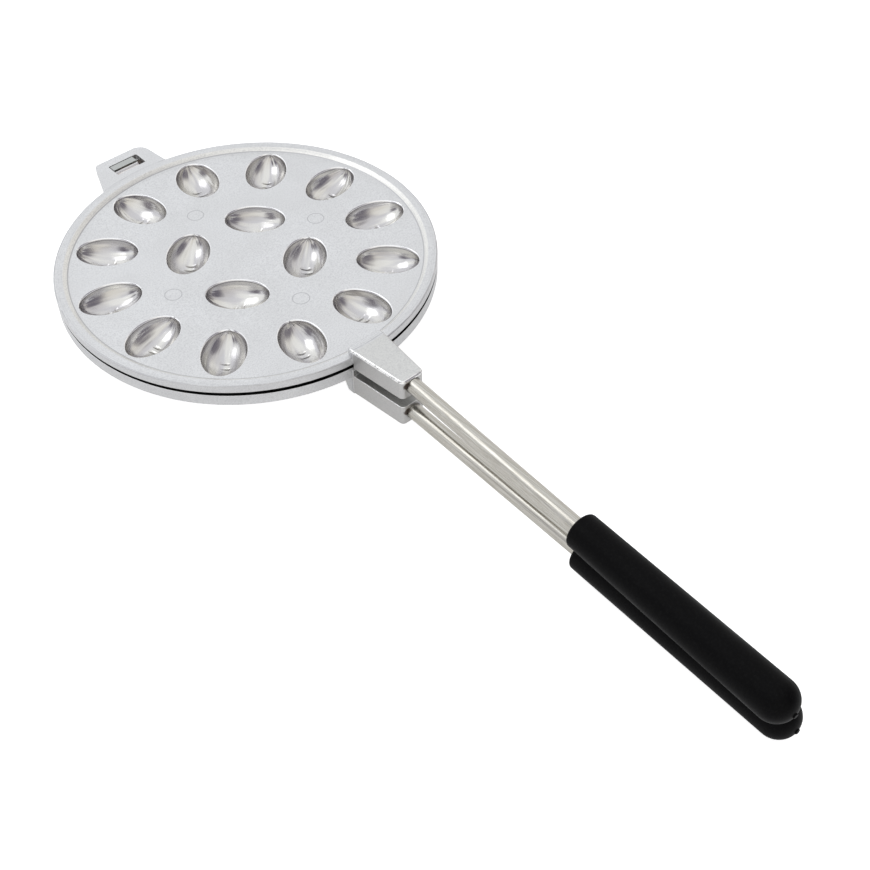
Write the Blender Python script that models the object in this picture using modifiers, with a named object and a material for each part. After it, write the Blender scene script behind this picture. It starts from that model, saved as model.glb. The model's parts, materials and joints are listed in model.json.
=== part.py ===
"""Walnut cookie iron: two cast aluminium mold halves, hooked together at the far end, with tube handles.

Metres, +Z up. The hook is at +Y and the handles run along -Y. Both halves are modelled closed about the
centre of the lower half's parting face. The hinge empty opens the upper half to its rest, and at last the
whole iron moves so that the origin is the middle of its underside.
"""

import math

import bmesh
import bpy
from mathutils import Matrix, Vector

# Plates
PLATE_RADIUS = 0.0950
EDGE_CHAMFER = 0.0007
UPPER_WEB = 0.0025
UPPER_RIM_RAISE = 0.0018
LOWER_WEB = 0.0030
LOWER_RIM_HEIGHT = 0.0062
RIM_WIDTH = 0.0046
RIM_SLOPE_WIDTH = 0.0024

# Walnut cells
RECESS_LENGTH = 0.0318
RECESS_WIDTH = 0.0222
RECESS_DEPTH = 0.0092
CELL_RIM_SPACING = 0.0086
RING_SPACING = 0.0142
OUTER_CELL_SPACING = 0.0146
INNER_CELL_SPACING = 0.0137
CASTING_WALL = 0.0024
DOUGH_SIDE_GAP = 0.0024
DOUGH_DEPTH_GAP = 0.0027

# Hook and ear
HINGE_BEYOND_RIM = 0.0099
HINGE_HEIGHT = 0.0012
HOOK_RADIUS = 0.0032
HOOK_WIDTH = 0.0142
HOOK_SIDE_SHIFT = 0.0024
HOOK_ROOT_SHARE = 0.84
HOOK_RAMP_LENGTH = 0.0053
HOOK_RAMP_RUN = 0.0010
HOOK_RAMP_RISE = 0.0012
EAR_END_WALL = 0.0058
EAR_END_LEFT = 0.0139
EAR_END_RIGHT = 0.0157
EAR_ROOT_LEFT = 0.0229
EAR_ROOT_RIGHT = 0.0180
EAR_LEFT_CORNER = 0.0020
EAR_RIGHT_CORNER = 0.0065

# Handle sockets
SOCKET_BACK_INSET = 0.0044
SOCKET_LENGTH = 0.0351
SOCKET_BACK_WIDTH = 0.0202
SOCKET_FRONT_WIDTH = 0.0130
SOCKET_CORNER = 0.0018
SOCKET_EDGE = 0.0008
SOCKET_DEPTH = 0.0300
UPPER_SOCKET_HEIGHT = 0.0102
LOWER_SOCKET_HEIGHT = 0.0109
LOWER_NECK_LENGTH = 0.0080

# Tubes, grips and pins
UPPER_TUBE_ABOVE_FACE = 0.0009
LOWER_TUBE_BELOW_RIM = 0.0046
TUBE_DIAMETER = 0.0075
TUBE_WALL = 0.0010
TUBE_SHOWN = 0.1076
GRIP_LENGTH = 0.1120
GRIP_START_DIAMETER = 0.0164
GRIP_END_DIAMETER = 0.0182
GRIP_MOUTH_ROUND = 0.0015
GRIP_END_WALL = 0.0120
GRIP_NUB_RADIUS = 0.0012
GRIP_NUB_HEIGHT = 0.0005
PIN_DIAMETER = 0.0030
PIN_CHAMFER = 0.0003
PIN_BACK_FROM_FRONT = 0.0150
PIN_SIDE_WALL = 0.0020

# Clearances and cuts
PARTING_GAP = 0.0003
FRONT_GAP = 0.00165
FIT_GAP = 0.0003
GRIP_GAP = 0.0003
RIM_CLEARANCE = 0.0006
HOOK_SIDE_PLAY = 0.0016
HOOK_BACK_PLAY = 0.0004
OVERRUN = 0.0020

# Facet counts
PLATE_STEPS = 88
CELL_STEPS = 16
CELL_RINGS = 8
TUBE_STEPS = 24
GRIP_STEPS = 28
TIP_ARC_STEPS = 6
CORNER_STEPS = 4
HOOK_ARC_STEPS = 10
BEVEL_SEGMENTS = 2

# Finishes
ALUMINIUM_COLOUR = (0.64, 0.65, 0.66)
ALUMINIUM_ROUGHNESS = 0.38
STEEL_COLOUR = (0.62, 0.6, 0.57)
STEEL_ROUGHNESS = 0.25
PLASTIC_COLOUR = (0.012, 0.012, 0.013)
PLASTIC_ROUGHNESS = 0.5

# Fractions of a turn or of a size
HANDLE_LEAN = math.radians(1.92)
QUARTER_TURN = math.radians(90)
HALF_TURN = math.radians(180)
FULL_TURN = math.radians(360)
HOOK_ARC_END = math.radians(150)
SMOOTH_ANGLE = math.radians(32)
SCREW_MERGE = 0.00001
WELD_DISTANCE = 0.00001
MID_SHARE = 0.5

# Places that follow from the sizes above, the upper half closed on the lower one
UPPER_PARTING_Z = PARTING_GAP
UPPER_FACE_Z = UPPER_PARTING_Z + UPPER_WEB
UPPER_RIM_Z = UPPER_FACE_Z + UPPER_RIM_RAISE
RIM_INNER_RADIUS = PLATE_RADIUS - RIM_WIDTH
FACE_RADIUS = RIM_INNER_RADIUS - RIM_SLOPE_WIDTH
UPPER_WEB_MID_Z = UPPER_PARTING_Z + MID_SHARE * UPPER_WEB
LOWER_WEB_MID_Z = -MID_SHARE * LOWER_WEB
OUTER_RING_RADIUS = PLATE_RADIUS - CELL_RIM_SPACING - MID_SHARE * RECESS_LENGTH
INNER_RING_RADIUS = OUTER_RING_RADIUS - MID_SHARE * (RECESS_LENGTH + RECESS_WIDTH) - RING_SPACING
BUMP_BOTTOM_Z = UPPER_FACE_Z - RECESS_DEPTH - CASTING_WALL
CAVITY_DEPTH = DOUGH_DEPTH_GAP - BUMP_BOTTOM_Z
TUBE_RADIUS = MID_SHARE * TUBE_DIAMETER
BORE_RADIUS = TUBE_RADIUS + FIT_GAP
UPPER_TUBE_Z = UPPER_FACE_Z + UPPER_TUBE_ABOVE_FACE
LOWER_TUBE_Z = -LOWER_RIM_HEIGHT - LOWER_TUBE_BELOW_RIM
SOCKET_BACK_Y = SOCKET_BACK_INSET - PLATE_RADIUS
SOCKET_FRONT_Y = SOCKET_BACK_Y - SOCKET_LENGTH
PIN_RADIUS = MID_SHARE * PIN_DIAMETER
PIN_Y = SOCKET_FRONT_Y + PIN_BACK_FROM_FRONT
GRIP_START = TUBE_SHOWN
GRIP_END_RADIUS = MID_SHARE * GRIP_END_DIAMETER
GRIP_TIP = GRIP_START + GRIP_LENGTH
GRIP_FAT = GRIP_TIP - GRIP_END_RADIUS
HINGE_Y = PLATE_RADIUS + HINGE_BEYOND_RIM
HINGE_Z = HINGE_HEIGHT
HOOK_X = -HOOK_SIDE_SHIFT
HINGE = Vector((0, HINGE_Y, HINGE_Z))
HOOK_ROOT_END_Y = HINGE_Y - HOOK_ROOT_SHARE * HOOK_RADIUS
HOOK_RAMP_START_Y = HINGE_Y - HOOK_RAMP_LENGTH
WINDOW_NEAR_Y = HOOK_RAMP_START_Y - HOOK_BACK_PLAY
WINDOW_FAR_Y = HINGE_Y + HOOK_RADIUS + FIT_GAP
WINDOW_WIDTH = HOOK_WIDTH + 2 * HOOK_SIDE_PLAY
EAR_END_Y = WINDOW_FAR_Y + EAR_END_WALL

# The closed halves meet with a small gap, and at rest the grips hold them a little further open
REST_OPENING = math.asin((FRONT_GAP - PARTING_GAP) / (HINGE_Y + PLATE_RADIUS))


def grip_splay():
    """The angle by which each handle turns to its own side, so that the two round grips just clear."""
    reach = GRIP_FAT - SOCKET_FRONT_Y + HINGE_Y
    pitch = UPPER_TUBE_Z - LOWER_TUBE_Z + reach * math.sin(REST_OPENING)
    needed = GRIP_END_DIAMETER + GRIP_GAP
    side = math.sqrt(max(needed ** 2 - pitch ** 2, 0))
    return math.atan2(MID_SHARE * side, GRIP_FAT)


# Both handles lean a little to the left of the iron's middle line, and the upper one the further
HANDLE_SPLAY = grip_splay()
UPPER_HANDLE_TURN = -HANDLE_LEAN - HANDLE_SPLAY
LOWER_HANDLE_TURN = -HANDLE_LEAN + HANDLE_SPLAY


def clear_scene():
    """Removes whatever the opening scene holds."""
    for old in list(bpy.data.objects):
        bpy.data.objects.remove(old, do_unlink=True)


def new_collection(name):
    """A collection linked to the scene."""
    group = bpy.data.collections.new(name)
    bpy.context.scene.collection.children.link(group)
    return group


def finish_material(name, colour, roughness, metallic):
    """A plain finish on a Principled shader."""
    finish = bpy.data.materials.new(name)
    finish.use_nodes = True
    shader = finish.node_tree.nodes["Principled BSDF"]
    shader.inputs["Base Color"].default_value = (*colour, 1)
    shader.inputs["Roughness"].default_value = roughness
    shader.inputs["Metallic"].default_value = metallic
    return finish


def mesh_object(name, bm, group):
    """A new object from a bmesh, which is freed."""
    mesh = bpy.data.meshes.new(name)
    bmesh.ops.recalc_face_normals(bm, faces=bm.faces)
    bm.to_mesh(mesh)
    bm.free()
    made = bpy.data.objects.new(name, mesh)
    group.objects.link(made)
    return made


def as_cutter(made):
    """Marks an object as a guide that isn't a part."""
    made.hide_render = True
    made.display_type = "WIRE"
    return made


def evaluated_mesh(made):
    """The object's mesh with its modifiers applied."""
    graph = bpy.context.evaluated_depsgraph_get()
    return bpy.data.meshes.new_from_object(made.evaluated_get(graph))


def combine(target, tool, operation, overlapping=False):
    """Adds an exact Boolean of the tool to the target, whose own bodies may overlap if stated."""
    step = target.modifiers.new(f"{operation}_{tool.name}", "BOOLEAN")
    step.operation = operation
    step.solver = "EXACT"
    step.use_self = overlapping
    step.object = tool


def bevelled(made, width):
    """Rounds every sharp edge of a block, and leaves it in flat triangles."""
    step = made.modifiers.new("edges", "BEVEL")
    step.width = width
    step.segments = BEVEL_SEGMENTS
    step.limit_method = "ANGLE"
    step.angle_limit = SMOOTH_ANGLE
    made.modifiers.new("flat_faces", "TRIANGULATE")


def turned(name, profile, steps, group, closed=False):
    """A shape turned about its local Z, from (radius, height) points that run down its outer side."""
    bm = bmesh.new()
    points = [bm.verts.new((radius, 0, height)) for radius, height in profile]
    for first, second in zip(points, points[1:]):
        bm.edges.new((first, second))
    if closed:
        bm.edges.new((points[-1], points[0]))
    mesh = bpy.data.meshes.new(name)
    bm.to_mesh(mesh)
    bm.free()
    made = bpy.data.objects.new(name, mesh)
    group.objects.link(made)
    screw = made.modifiers.new("turn", "SCREW")
    screw.axis = "Z"
    screw.steps = steps
    screw.render_steps = steps
    screw.use_merge_vertices = True
    screw.merge_threshold = SCREW_MERGE
    screw.use_smooth_shade = True
    return made


def rounded_outline(corners):
    """Points of a closed outline whose corners, given as (x, y, radius), are drawn as arcs."""
    points = []
    for place, (x, y, radius) in enumerate(corners):
        corner = Vector((x, y))
        before = Vector(corners[place - 1][:2]) - corner
        after = Vector(corners[(place + 1) % len(corners)][:2]) - corner
        if radius == 0:
            points.append(corner)
            continue
        half = MID_SHARE * before.angle(after)
        middle = (before.normalized() + after.normalized()).normalized()
        centre = corner + middle * (radius / math.sin(half))
        start = corner + before.normalized() * (radius / math.tan(half)) - centre
        turn = math.copysign(HALF_TURN - half - half, before.cross(after))
        for step in range(CORNER_STEPS + 1):
            share = step / CORNER_STEPS
            points.append(centre + Matrix.Rotation(-turn * share, 2) @ start)
    return points


def outline_solid(name, loops, thickness, placing, group):
    """A flat outline with any holes, filled, given its thickness and made a mesh."""
    curve = bpy.data.curves.new(name, "CURVE")
    curve.dimensions = "2D"
    curve.fill_mode = "BOTH"
    curve.extrude = MID_SHARE * thickness
    for loop in loops:
        spline = curve.splines.new("POLY")
        spline.points.add(len(loop) - 1)
        for point, place in zip(spline.points, loop):
            point.co = (place[0], place[1], 0, 1)
        spline.use_cyclic_u = True
    guide = bpy.data.objects.new(f"{name}_outline", curve)
    group.objects.link(guide)
    guide.matrix_world = placing
    bpy.context.view_layer.update()
    bm = bmesh.new()
    bm.from_mesh(evaluated_mesh(guide))
    bmesh.ops.remove_doubles(bm, verts=bm.verts, dist=WELD_DISTANCE)
    made = mesh_object(name, bm, group)
    made.matrix_world = guide.matrix_world
    bpy.data.objects.remove(guide)
    return made


def cylinder(name, radius, length, placing, group, steps):
    """A capped cylinder along its local Z, centred on its place."""
    bm = bmesh.new()
    bmesh.ops.create_cone(
        bm, cap_ends=True, segments=steps, radius1=radius, radius2=radius, depth=length
    )
    made = mesh_object(name, bm, group)
    made.matrix_world = placing
    return made


def cell_places():
    """The (x, y, turn) of each walnut cell: its place, and the angle of its long side from +X."""
    places = []
    for radius, pitch, tangent_turn in (
        (OUTER_RING_RADIUS, RECESS_WIDTH + OUTER_CELL_SPACING, 0),
        (INNER_RING_RADIUS, RECESS_LENGTH + INNER_CELL_SPACING, QUARTER_TURN),
    ):
        count = math.floor(FULL_TURN * radius / pitch)
        for cell in range(count):
            angle = (cell + MID_SHARE) * FULL_TURN / count
            places.append((radius * math.cos(angle), radius * math.sin(angle), angle + tangent_turn))
    return places


def lower_dome():
    """The lower half of a unit ball, closed at its equator."""
    bm = bmesh.new()
    bmesh.ops.create_uvsphere(bm, u_segments=CELL_STEPS, v_segments=CELL_RINGS, radius=1)
    everything = bm.verts[:] + bm.edges[:] + bm.faces[:]
    bmesh.ops.bisect_plane(
        bm, geom=everything, dist=WELD_DISTANCE, plane_co=(0, 0, 0), plane_no=(0, 0, 1), clear_outer=True
    )
    rim = [edge for edge in bm.edges if edge.is_boundary]
    bmesh.ops.holes_fill(bm, edges=rim)
    return bm


def full_ball():
    """A unit ball."""
    bm = bmesh.new()
    bmesh.ops.create_uvsphere(bm, u_segments=CELL_STEPS, v_segments=CELL_RINGS, radius=1)
    return bm


def cell_shapes(name, unit, length, width, depth, centre_z, group):
    """One ellipsoid for each walnut cell, joined in one object."""
    shape = bpy.data.meshes.new(f"{name}_unit")
    unit.to_mesh(shape)
    unit.free()
    size = Matrix.Diagonal((MID_SHARE * length, MID_SHARE * width, depth, 1))
    bm = bmesh.new()
    for x, y, turn in cell_places():
        one = shape.copy()
        one.transform(Matrix.Translation((x, y, centre_z)) @ Matrix.Rotation(turn, 4, "Z") @ size)
        bm.from_mesh(one)
    return mesh_object(name, bm, group)


def flat_placing(middle_z):
    """Places an outline drawn in X and Y at a height."""
    return Matrix.Translation((0, 0, middle_z))


def side_placing():
    """Places an outline drawn in Y and Z across X."""
    return Matrix.Rotation(QUARTER_TURN, 4, "Z") @ Matrix.Rotation(QUARTER_TURN, 4, "X")


def handle_placing(tube_z, turn):
    """The handle's own frame: its origin at the socket's mouth, its Z along the handle."""
    mouth = Matrix.Translation((0, SOCKET_FRONT_Y, tube_z))
    return mouth @ Matrix.Rotation(turn, 4, "Z") @ Matrix.Rotation(QUARTER_TURN, 4, "X")


def socket_outline(corner):
    """The plan of a socket block: a trapezoid that narrows towards the tube."""
    back = MID_SHARE * SOCKET_BACK_WIDTH
    front = MID_SHARE * SOCKET_FRONT_WIDTH
    return rounded_outline([
        (-back, SOCKET_BACK_Y, corner),
        (-front, SOCKET_FRONT_Y, corner),
        (front, SOCKET_FRONT_Y, corner),
        (back, SOCKET_BACK_Y, corner),
    ])


def socket_bore(name, tube_z, turn, guides):
    """The round hole that the tube stands in."""
    to_middle = Matrix.Translation((0, 0, MID_SHARE * (OVERRUN - SOCKET_DEPTH)))
    placing = handle_placing(tube_z, turn) @ to_middle
    bore = cylinder(name, BORE_RADIUS, SOCKET_DEPTH + OVERRUN, placing, guides, TUBE_STEPS)
    return as_cutter(bore)


def side_width_at(y):
    """Half the socket block's width at a place along it."""
    share = (y - SOCKET_FRONT_Y) / (SOCKET_BACK_Y - SOCKET_FRONT_Y)
    return MID_SHARE * (SOCKET_FRONT_WIDTH + share * (SOCKET_BACK_WIDTH - SOCKET_FRONT_WIDTH))


def pin_span():
    """The pin's ends along X: just inside the block's right side, and short of its left side."""
    reach = side_width_at(PIN_Y)
    return PIN_SIDE_WALL - reach, reach - EDGE_CHAMFER


def pin_hole(name, tube_z, guides):
    """The blind cross hole for a tube pin."""
    low, high = pin_span()
    start = low - FIT_GAP
    end = high + OVERRUN
    middle = Matrix.Translation((MID_SHARE * (start + end), PIN_Y, tube_z))
    placing = middle @ Matrix.Rotation(QUARTER_TURN, 4, "Y")
    hole = cylinder(name, PIN_RADIUS + FIT_GAP, end - start, placing, guides, TUBE_STEPS)
    return as_cutter(hole)


def upper_plate_profile():
    """The upper plate: a recessed outer face inside a raised rim, and a flat parting face."""
    return [
        (0, UPPER_FACE_Z),
        (FACE_RADIUS, UPPER_FACE_Z),
        (RIM_INNER_RADIUS, UPPER_RIM_Z),
        (PLATE_RADIUS - EDGE_CHAMFER, UPPER_RIM_Z),
        (PLATE_RADIUS, UPPER_RIM_Z - EDGE_CHAMFER),
        (PLATE_RADIUS, UPPER_PARTING_Z),
        (0, UPPER_PARTING_Z),
    ]


def lower_plate_profile():
    """The lower plate: a flat parting face, and a web inside a rim that stands down."""
    return [
        (0, 0),
        (PLATE_RADIUS, 0),
        (PLATE_RADIUS, EDGE_CHAMFER - LOWER_RIM_HEIGHT),
        (PLATE_RADIUS - EDGE_CHAMFER, -LOWER_RIM_HEIGHT),
        (RIM_INNER_RADIUS, -LOWER_RIM_HEIGHT),
        (FACE_RADIUS, -LOWER_WEB),
        (0, -LOWER_WEB),
    ]


def ear_solid(guides):
    """The ear at the far end of the upper half, with the window that the hook stands in."""
    window = MID_SHARE * WINDOW_WIDTH
    outer = rounded_outline([
        (HOOK_X + EAR_ROOT_RIGHT, RIM_INNER_RADIUS, 0),
        (HOOK_X + EAR_END_RIGHT, EAR_END_Y, EAR_RIGHT_CORNER),
        (HOOK_X - EAR_END_LEFT, EAR_END_Y, EAR_LEFT_CORNER),
        (HOOK_X - EAR_ROOT_LEFT, RIM_INNER_RADIUS, 0),
    ])
    hole = [
        (HOOK_X - window, WINDOW_NEAR_Y),
        (HOOK_X + window, WINDOW_NEAR_Y),
        (HOOK_X + window, WINDOW_FAR_Y),
        (HOOK_X - window, WINDOW_FAR_Y),
    ]
    thickness = UPPER_RIM_Z - UPPER_PARTING_Z
    middle = MID_SHARE * (UPPER_RIM_Z + UPPER_PARTING_Z)
    ear = outline_solid("ear", [outer, hole], thickness, flat_placing(middle), guides)
    return as_cutter(ear)


def hook_solid(guides):
    """The lower half's hook: a short root below the ear, and a round nose on the hinge axis."""
    root_z = HINGE_Z - math.sqrt(HOOK_RADIUS ** 2 - (HINGE_Y - HOOK_ROOT_END_Y) ** 2)
    start = math.atan2(root_z - HINGE_Z, HOOK_ROOT_END_Y - HINGE_Y)
    points = [
        (RIM_INNER_RADIUS, 0),
        (RIM_INNER_RADIUS, -LOWER_RIM_HEIGHT),
        (HOOK_ROOT_END_Y, -LOWER_RIM_HEIGHT),
    ]
    for step in range(HOOK_ARC_STEPS + 1):
        angle = start + (HOOK_ARC_END - start) * step / HOOK_ARC_STEPS
        points.append((HINGE_Y + HOOK_RADIUS * math.cos(angle), HINGE_Z + HOOK_RADIUS * math.sin(angle)))
    points.append((HOOK_RAMP_START_Y + HOOK_RAMP_RUN, HINGE_Z + HOOK_RAMP_RISE))
    points.append((HOOK_RAMP_START_Y, 0))
    placing = Matrix.Translation((HOOK_X, 0, 0)) @ side_placing()
    hook = outline_solid("hook", [points], HOOK_WIDTH, placing, guides)
    return as_cutter(hook)


def upper_socket_solid(guides):
    """The upper socket block, cut back where it hangs beside the lower half's rim."""
    low = UPPER_TUBE_Z - MID_SHARE * UPPER_SOCKET_HEIGHT
    plan = socket_outline(SOCKET_CORNER)
    placing = flat_placing(UPPER_TUBE_Z)
    block = outline_solid("upper_socket", [plan], UPPER_SOCKET_HEIGHT, placing, guides)
    bevelled(block, SOCKET_EDGE)
    top = UPPER_WEB_MID_Z
    length = top - low + OVERRUN
    placing = flat_placing(top - MID_SHARE * length)
    rim = cylinder("rim_room", PLATE_RADIUS + RIM_CLEARANCE, length, placing, guides, PLATE_STEPS)
    combine(block, as_cutter(rim), "DIFFERENCE")
    return as_cutter(block)


def lower_socket_solid(guides):
    """The lower socket block: it hangs below the rim and joins the plate through a neck."""
    top = LOWER_WEB_MID_Z
    low = LOWER_TUBE_Z - MID_SHARE * LOWER_SOCKET_HEIGHT
    shelf = LOWER_TUBE_Z + MID_SHARE * LOWER_SOCKET_HEIGHT
    back = SOCKET_BACK_Y + LOWER_NECK_LENGTH
    front = -PLATE_RADIUS
    side = [
        (back, top),
        (back, shelf),
        (SOCKET_BACK_Y, low),
        (SOCKET_FRONT_Y, low),
        (SOCKET_FRONT_Y, shelf),
        (front, shelf),
        (front, top),
    ]
    block = outline_solid("lower_socket", [side], SOCKET_BACK_WIDTH, side_placing(), guides)
    plan = lower_socket_plan(guides, top - low)
    combine(block, plan, "INTERSECT")
    bevelled(block, SOCKET_EDGE)
    return as_cutter(block)


def lower_socket_plan(guides, height):
    """The plan that the lower socket block is trimmed to, drawn on behind the neck."""
    back = MID_SHARE * SOCKET_BACK_WIDTH
    front = MID_SHARE * SOCKET_FRONT_WIDTH
    points = rounded_outline([
        (-back, SOCKET_BACK_Y + LOWER_NECK_LENGTH + OVERRUN, 0),
        (-back, SOCKET_BACK_Y, 0),
        (-front, SOCKET_FRONT_Y, SOCKET_CORNER),
        (front, SOCKET_FRONT_Y, SOCKET_CORNER),
        (back, SOCKET_BACK_Y, 0),
        (back, SOCKET_BACK_Y + LOWER_NECK_LENGTH + OVERRUN, 0),
    ])
    middle = LOWER_TUBE_Z - MID_SHARE * LOWER_SOCKET_HEIGHT + MID_SHARE * height
    plan = outline_solid("lower_plan", [points], height + OVERRUN, flat_placing(middle), guides)
    return as_cutter(plan)


def upper_casting(parts, guides):
    """The upper mold half and everything that was used to shape it."""
    casting = turned("upper_mold_casting", upper_plate_profile(), PLATE_STEPS, parts)
    bumps = cell_shapes(
        "bumps",
        lower_dome(),
        RECESS_LENGTH + 2 * CASTING_WALL,
        RECESS_WIDTH + 2 * CASTING_WALL,
        UPPER_WEB_MID_Z - BUMP_BOTTOM_Z,
        UPPER_WEB_MID_Z,
        guides,
    )
    recesses = cell_shapes(
        "recesses", full_ball(), RECESS_LENGTH, RECESS_WIDTH, RECESS_DEPTH, UPPER_FACE_Z, guides
    )
    ear = ear_solid(guides)
    socket = upper_socket_solid(guides)
    bore = socket_bore("upper_bore", UPPER_TUBE_Z, UPPER_HANDLE_TURN, guides)
    hole = pin_hole("upper_pin_hole", UPPER_TUBE_Z, guides)
    combine(casting, ear, "UNION")
    combine(casting, socket, "UNION")
    combine(casting, as_cutter(bumps), "UNION", overlapping=True)
    combine(casting, as_cutter(recesses), "DIFFERENCE", overlapping=True)
    combine(casting, bore, "DIFFERENCE")
    combine(casting, hole, "DIFFERENCE")
    return casting, hole


def lower_casting(parts, guides):
    """The lower mold half and everything that was used to shape it."""
    casting = turned("lower_mold_casting", lower_plate_profile(), PLATE_STEPS, parts)
    length = RECESS_LENGTH + 2 * (CASTING_WALL + DOUGH_SIDE_GAP)
    width = RECESS_WIDTH + 2 * (CASTING_WALL + DOUGH_SIDE_GAP)
    bulges = cell_shapes(
        "bulges",
        lower_dome(),
        length + 2 * CASTING_WALL,
        width + 2 * CASTING_WALL,
        CAVITY_DEPTH + CASTING_WALL + LOWER_WEB_MID_Z,
        LOWER_WEB_MID_Z,
        guides,
    )
    cavities = cell_shapes("cavities", full_ball(), length, width, CAVITY_DEPTH, 0, guides)
    hook = hook_solid(guides)
    socket = lower_socket_solid(guides)
    bore = socket_bore("lower_bore", LOWER_TUBE_Z, LOWER_HANDLE_TURN, guides)
    hole = pin_hole("lower_pin_hole", LOWER_TUBE_Z, guides)
    combine(casting, hook, "UNION")
    combine(casting, socket, "UNION")
    combine(casting, as_cutter(bulges), "UNION", overlapping=True)
    combine(casting, as_cutter(cavities), "DIFFERENCE", overlapping=True)
    combine(casting, bore, "DIFFERENCE")
    combine(casting, hole, "DIFFERENCE")
    return casting, hole


def handle_tube(name, tube_z, turn, hole, parts):
    """A steel tube, from the bottom of its socket to the end of its grip's bore."""
    low = FIT_GAP - SOCKET_DEPTH
    high = GRIP_TIP - GRIP_END_WALL - FIT_GAP
    inner = TUBE_RADIUS - TUBE_WALL
    profile = [(TUBE_RADIUS, high), (TUBE_RADIUS, low), (inner, low), (inner, high)]
    tube = turned(name, profile, TUBE_STEPS, parts, closed=True)
    tube.matrix_world = handle_placing(tube_z, turn)
    combine(tube, hole, "DIFFERENCE")
    return tube


def grip_profile():
    """A grip: a nub and a round tip, a straight taper to a rounded mouth, and the blind bore."""
    start = MID_SHARE * GRIP_START_DIAMETER
    points = [
        (0, GRIP_TIP + GRIP_NUB_HEIGHT),
        (GRIP_NUB_RADIUS, GRIP_TIP + GRIP_NUB_HEIGHT),
    ]
    first = math.asin(GRIP_NUB_RADIUS / GRIP_END_RADIUS)
    for step in range(TIP_ARC_STEPS + 1):
        angle = first + (QUARTER_TURN - first) * step / TIP_ARC_STEPS
        points.append((GRIP_END_RADIUS * math.sin(angle), GRIP_FAT + GRIP_END_RADIUS * math.cos(angle)))
    for step in range(CORNER_STEPS + 1):
        angle = QUARTER_TURN * step / CORNER_STEPS
        radius = start - GRIP_MOUTH_ROUND + GRIP_MOUTH_ROUND * math.cos(angle)
        points.append((radius, GRIP_START + GRIP_MOUTH_ROUND - GRIP_MOUTH_ROUND * math.sin(angle)))
    blind = GRIP_TIP - GRIP_END_WALL
    return points + [(BORE_RADIUS, GRIP_START), (BORE_RADIUS, blind), (0, blind)]


def grip(name, tube_z, turn, parts):
    """A black sleeve over the end of a tube."""
    made = turned(name, grip_profile(), GRIP_STEPS, parts)
    made.matrix_world = handle_placing(tube_z, turn)
    return made


def tube_pin(name, tube_z, parts):
    """The cross pin that holds a tube in its socket."""
    low, high = pin_span()
    profile = [
        (0, high),
        (PIN_RADIUS - PIN_CHAMFER, high),
        (PIN_RADIUS, high - PIN_CHAMFER),
        (PIN_RADIUS, low + PIN_CHAMFER),
        (PIN_RADIUS - PIN_CHAMFER, low),
        (0, low),
    ]
    pin = turned(name, profile, TUBE_STEPS, parts)
    pin.matrix_world = Matrix.Translation((0, PIN_Y, tube_z)) @ Matrix.Rotation(QUARTER_TURN, 4, "Y")
    return pin


def hinge_empty(group):
    """The empty on the hinge axis that carries the upper half, opened to its rest."""
    hinge = bpy.data.objects.new("hinge", None)
    group.objects.link(hinge)
    hinge.location = HINGE
    hinge.rotation_euler = (-REST_OPENING, 0, 0)
    return hinge


def hang(made, hinge):
    """Carries an object that was placed with the iron closed."""
    made.parent = hinge
    made.matrix_parent_inverse = Matrix.Translation(-HINGE)


def stand_on_origin(finished, hinge):
    """Moves the iron so that the middle of its underside is the origin."""
    places = [made.matrix_world @ vertex.co for made in finished for vertex in made.data.vertices]
    low = Vector([min(place[axis] for place in places) for axis in range(3)])
    high = Vector([max(place[axis] for place in places) for axis in range(3)])
    base = MID_SHARE * (low + high)
    base.z = low.z
    hinge.location -= base
    for made in finished:
        if made.parent is None:
            made.location -= base


def shade(made, finish):
    """Keeps the finished mesh, smooth where it is round, with its material."""
    mesh = evaluated_mesh(made)
    made.modifiers.clear()
    made.data = mesh
    mesh.shade_smooth()
    mesh.set_sharp_from_angle(angle=SMOOTH_ANGLE)
    mesh.materials.clear()
    mesh.materials.append(finish)


def build():
    """Models the whole iron."""
    clear_scene()
    parts = new_collection("walnut_cookie_iron")
    guides = new_collection("guides")
    aluminium = finish_material("cast_aluminium", ALUMINIUM_COLOUR, ALUMINIUM_ROUGHNESS, 1)
    steel = finish_material("plated_steel", STEEL_COLOUR, STEEL_ROUGHNESS, 1)
    plastic = finish_material("black_plastic", PLASTIC_COLOUR, PLASTIC_ROUGHNESS, 0)

    lower, lower_hole = lower_casting(parts, guides)
    upper, upper_hole = upper_casting(parts, guides)
    finished = {
        lower: aluminium,
        upper: aluminium,
        handle_tube("lower_handle_tube", LOWER_TUBE_Z, LOWER_HANDLE_TURN, lower_hole, parts): steel,
        handle_tube("upper_handle_tube", UPPER_TUBE_Z, UPPER_HANDLE_TURN, upper_hole, parts): steel,
        grip("lower_grip", LOWER_TUBE_Z, LOWER_HANDLE_TURN, parts): plastic,
        grip("upper_grip", UPPER_TUBE_Z, UPPER_HANDLE_TURN, parts): plastic,
        tube_pin("lower_tube_pin", LOWER_TUBE_Z, parts): steel,
        tube_pin("upper_tube_pin", UPPER_TUBE_Z, parts): steel,
    }
    bpy.context.view_layer.update()
    for made, finish in finished.items():
        shade(made, finish)
    hinge = hinge_empty(parts)
    for made in finished:
        if made.name.startswith("upper"):
            hang(made, hinge)
    bpy.context.view_layer.update()
    stand_on_origin(finished, hinge)
    bpy.context.view_layer.update()


build()
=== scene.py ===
"""The looks of a walnut cookie iron: two cast aluminium mold halves, steel handle tubes and black grips.

Every piece is modelled closed, about the centre of the lower half's parting face, and is then carried to
its place in the frame. Metres, +Z up, the hook at +Y and the handles along -Y.
"""

from __future__ import annotations

import json
import logging
import math
from collections.abc import Callable, Iterable
from dataclasses import dataclass
from enum import Enum

import bmesh
import bpy
from mathutils import Euler, Matrix, Vector

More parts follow.
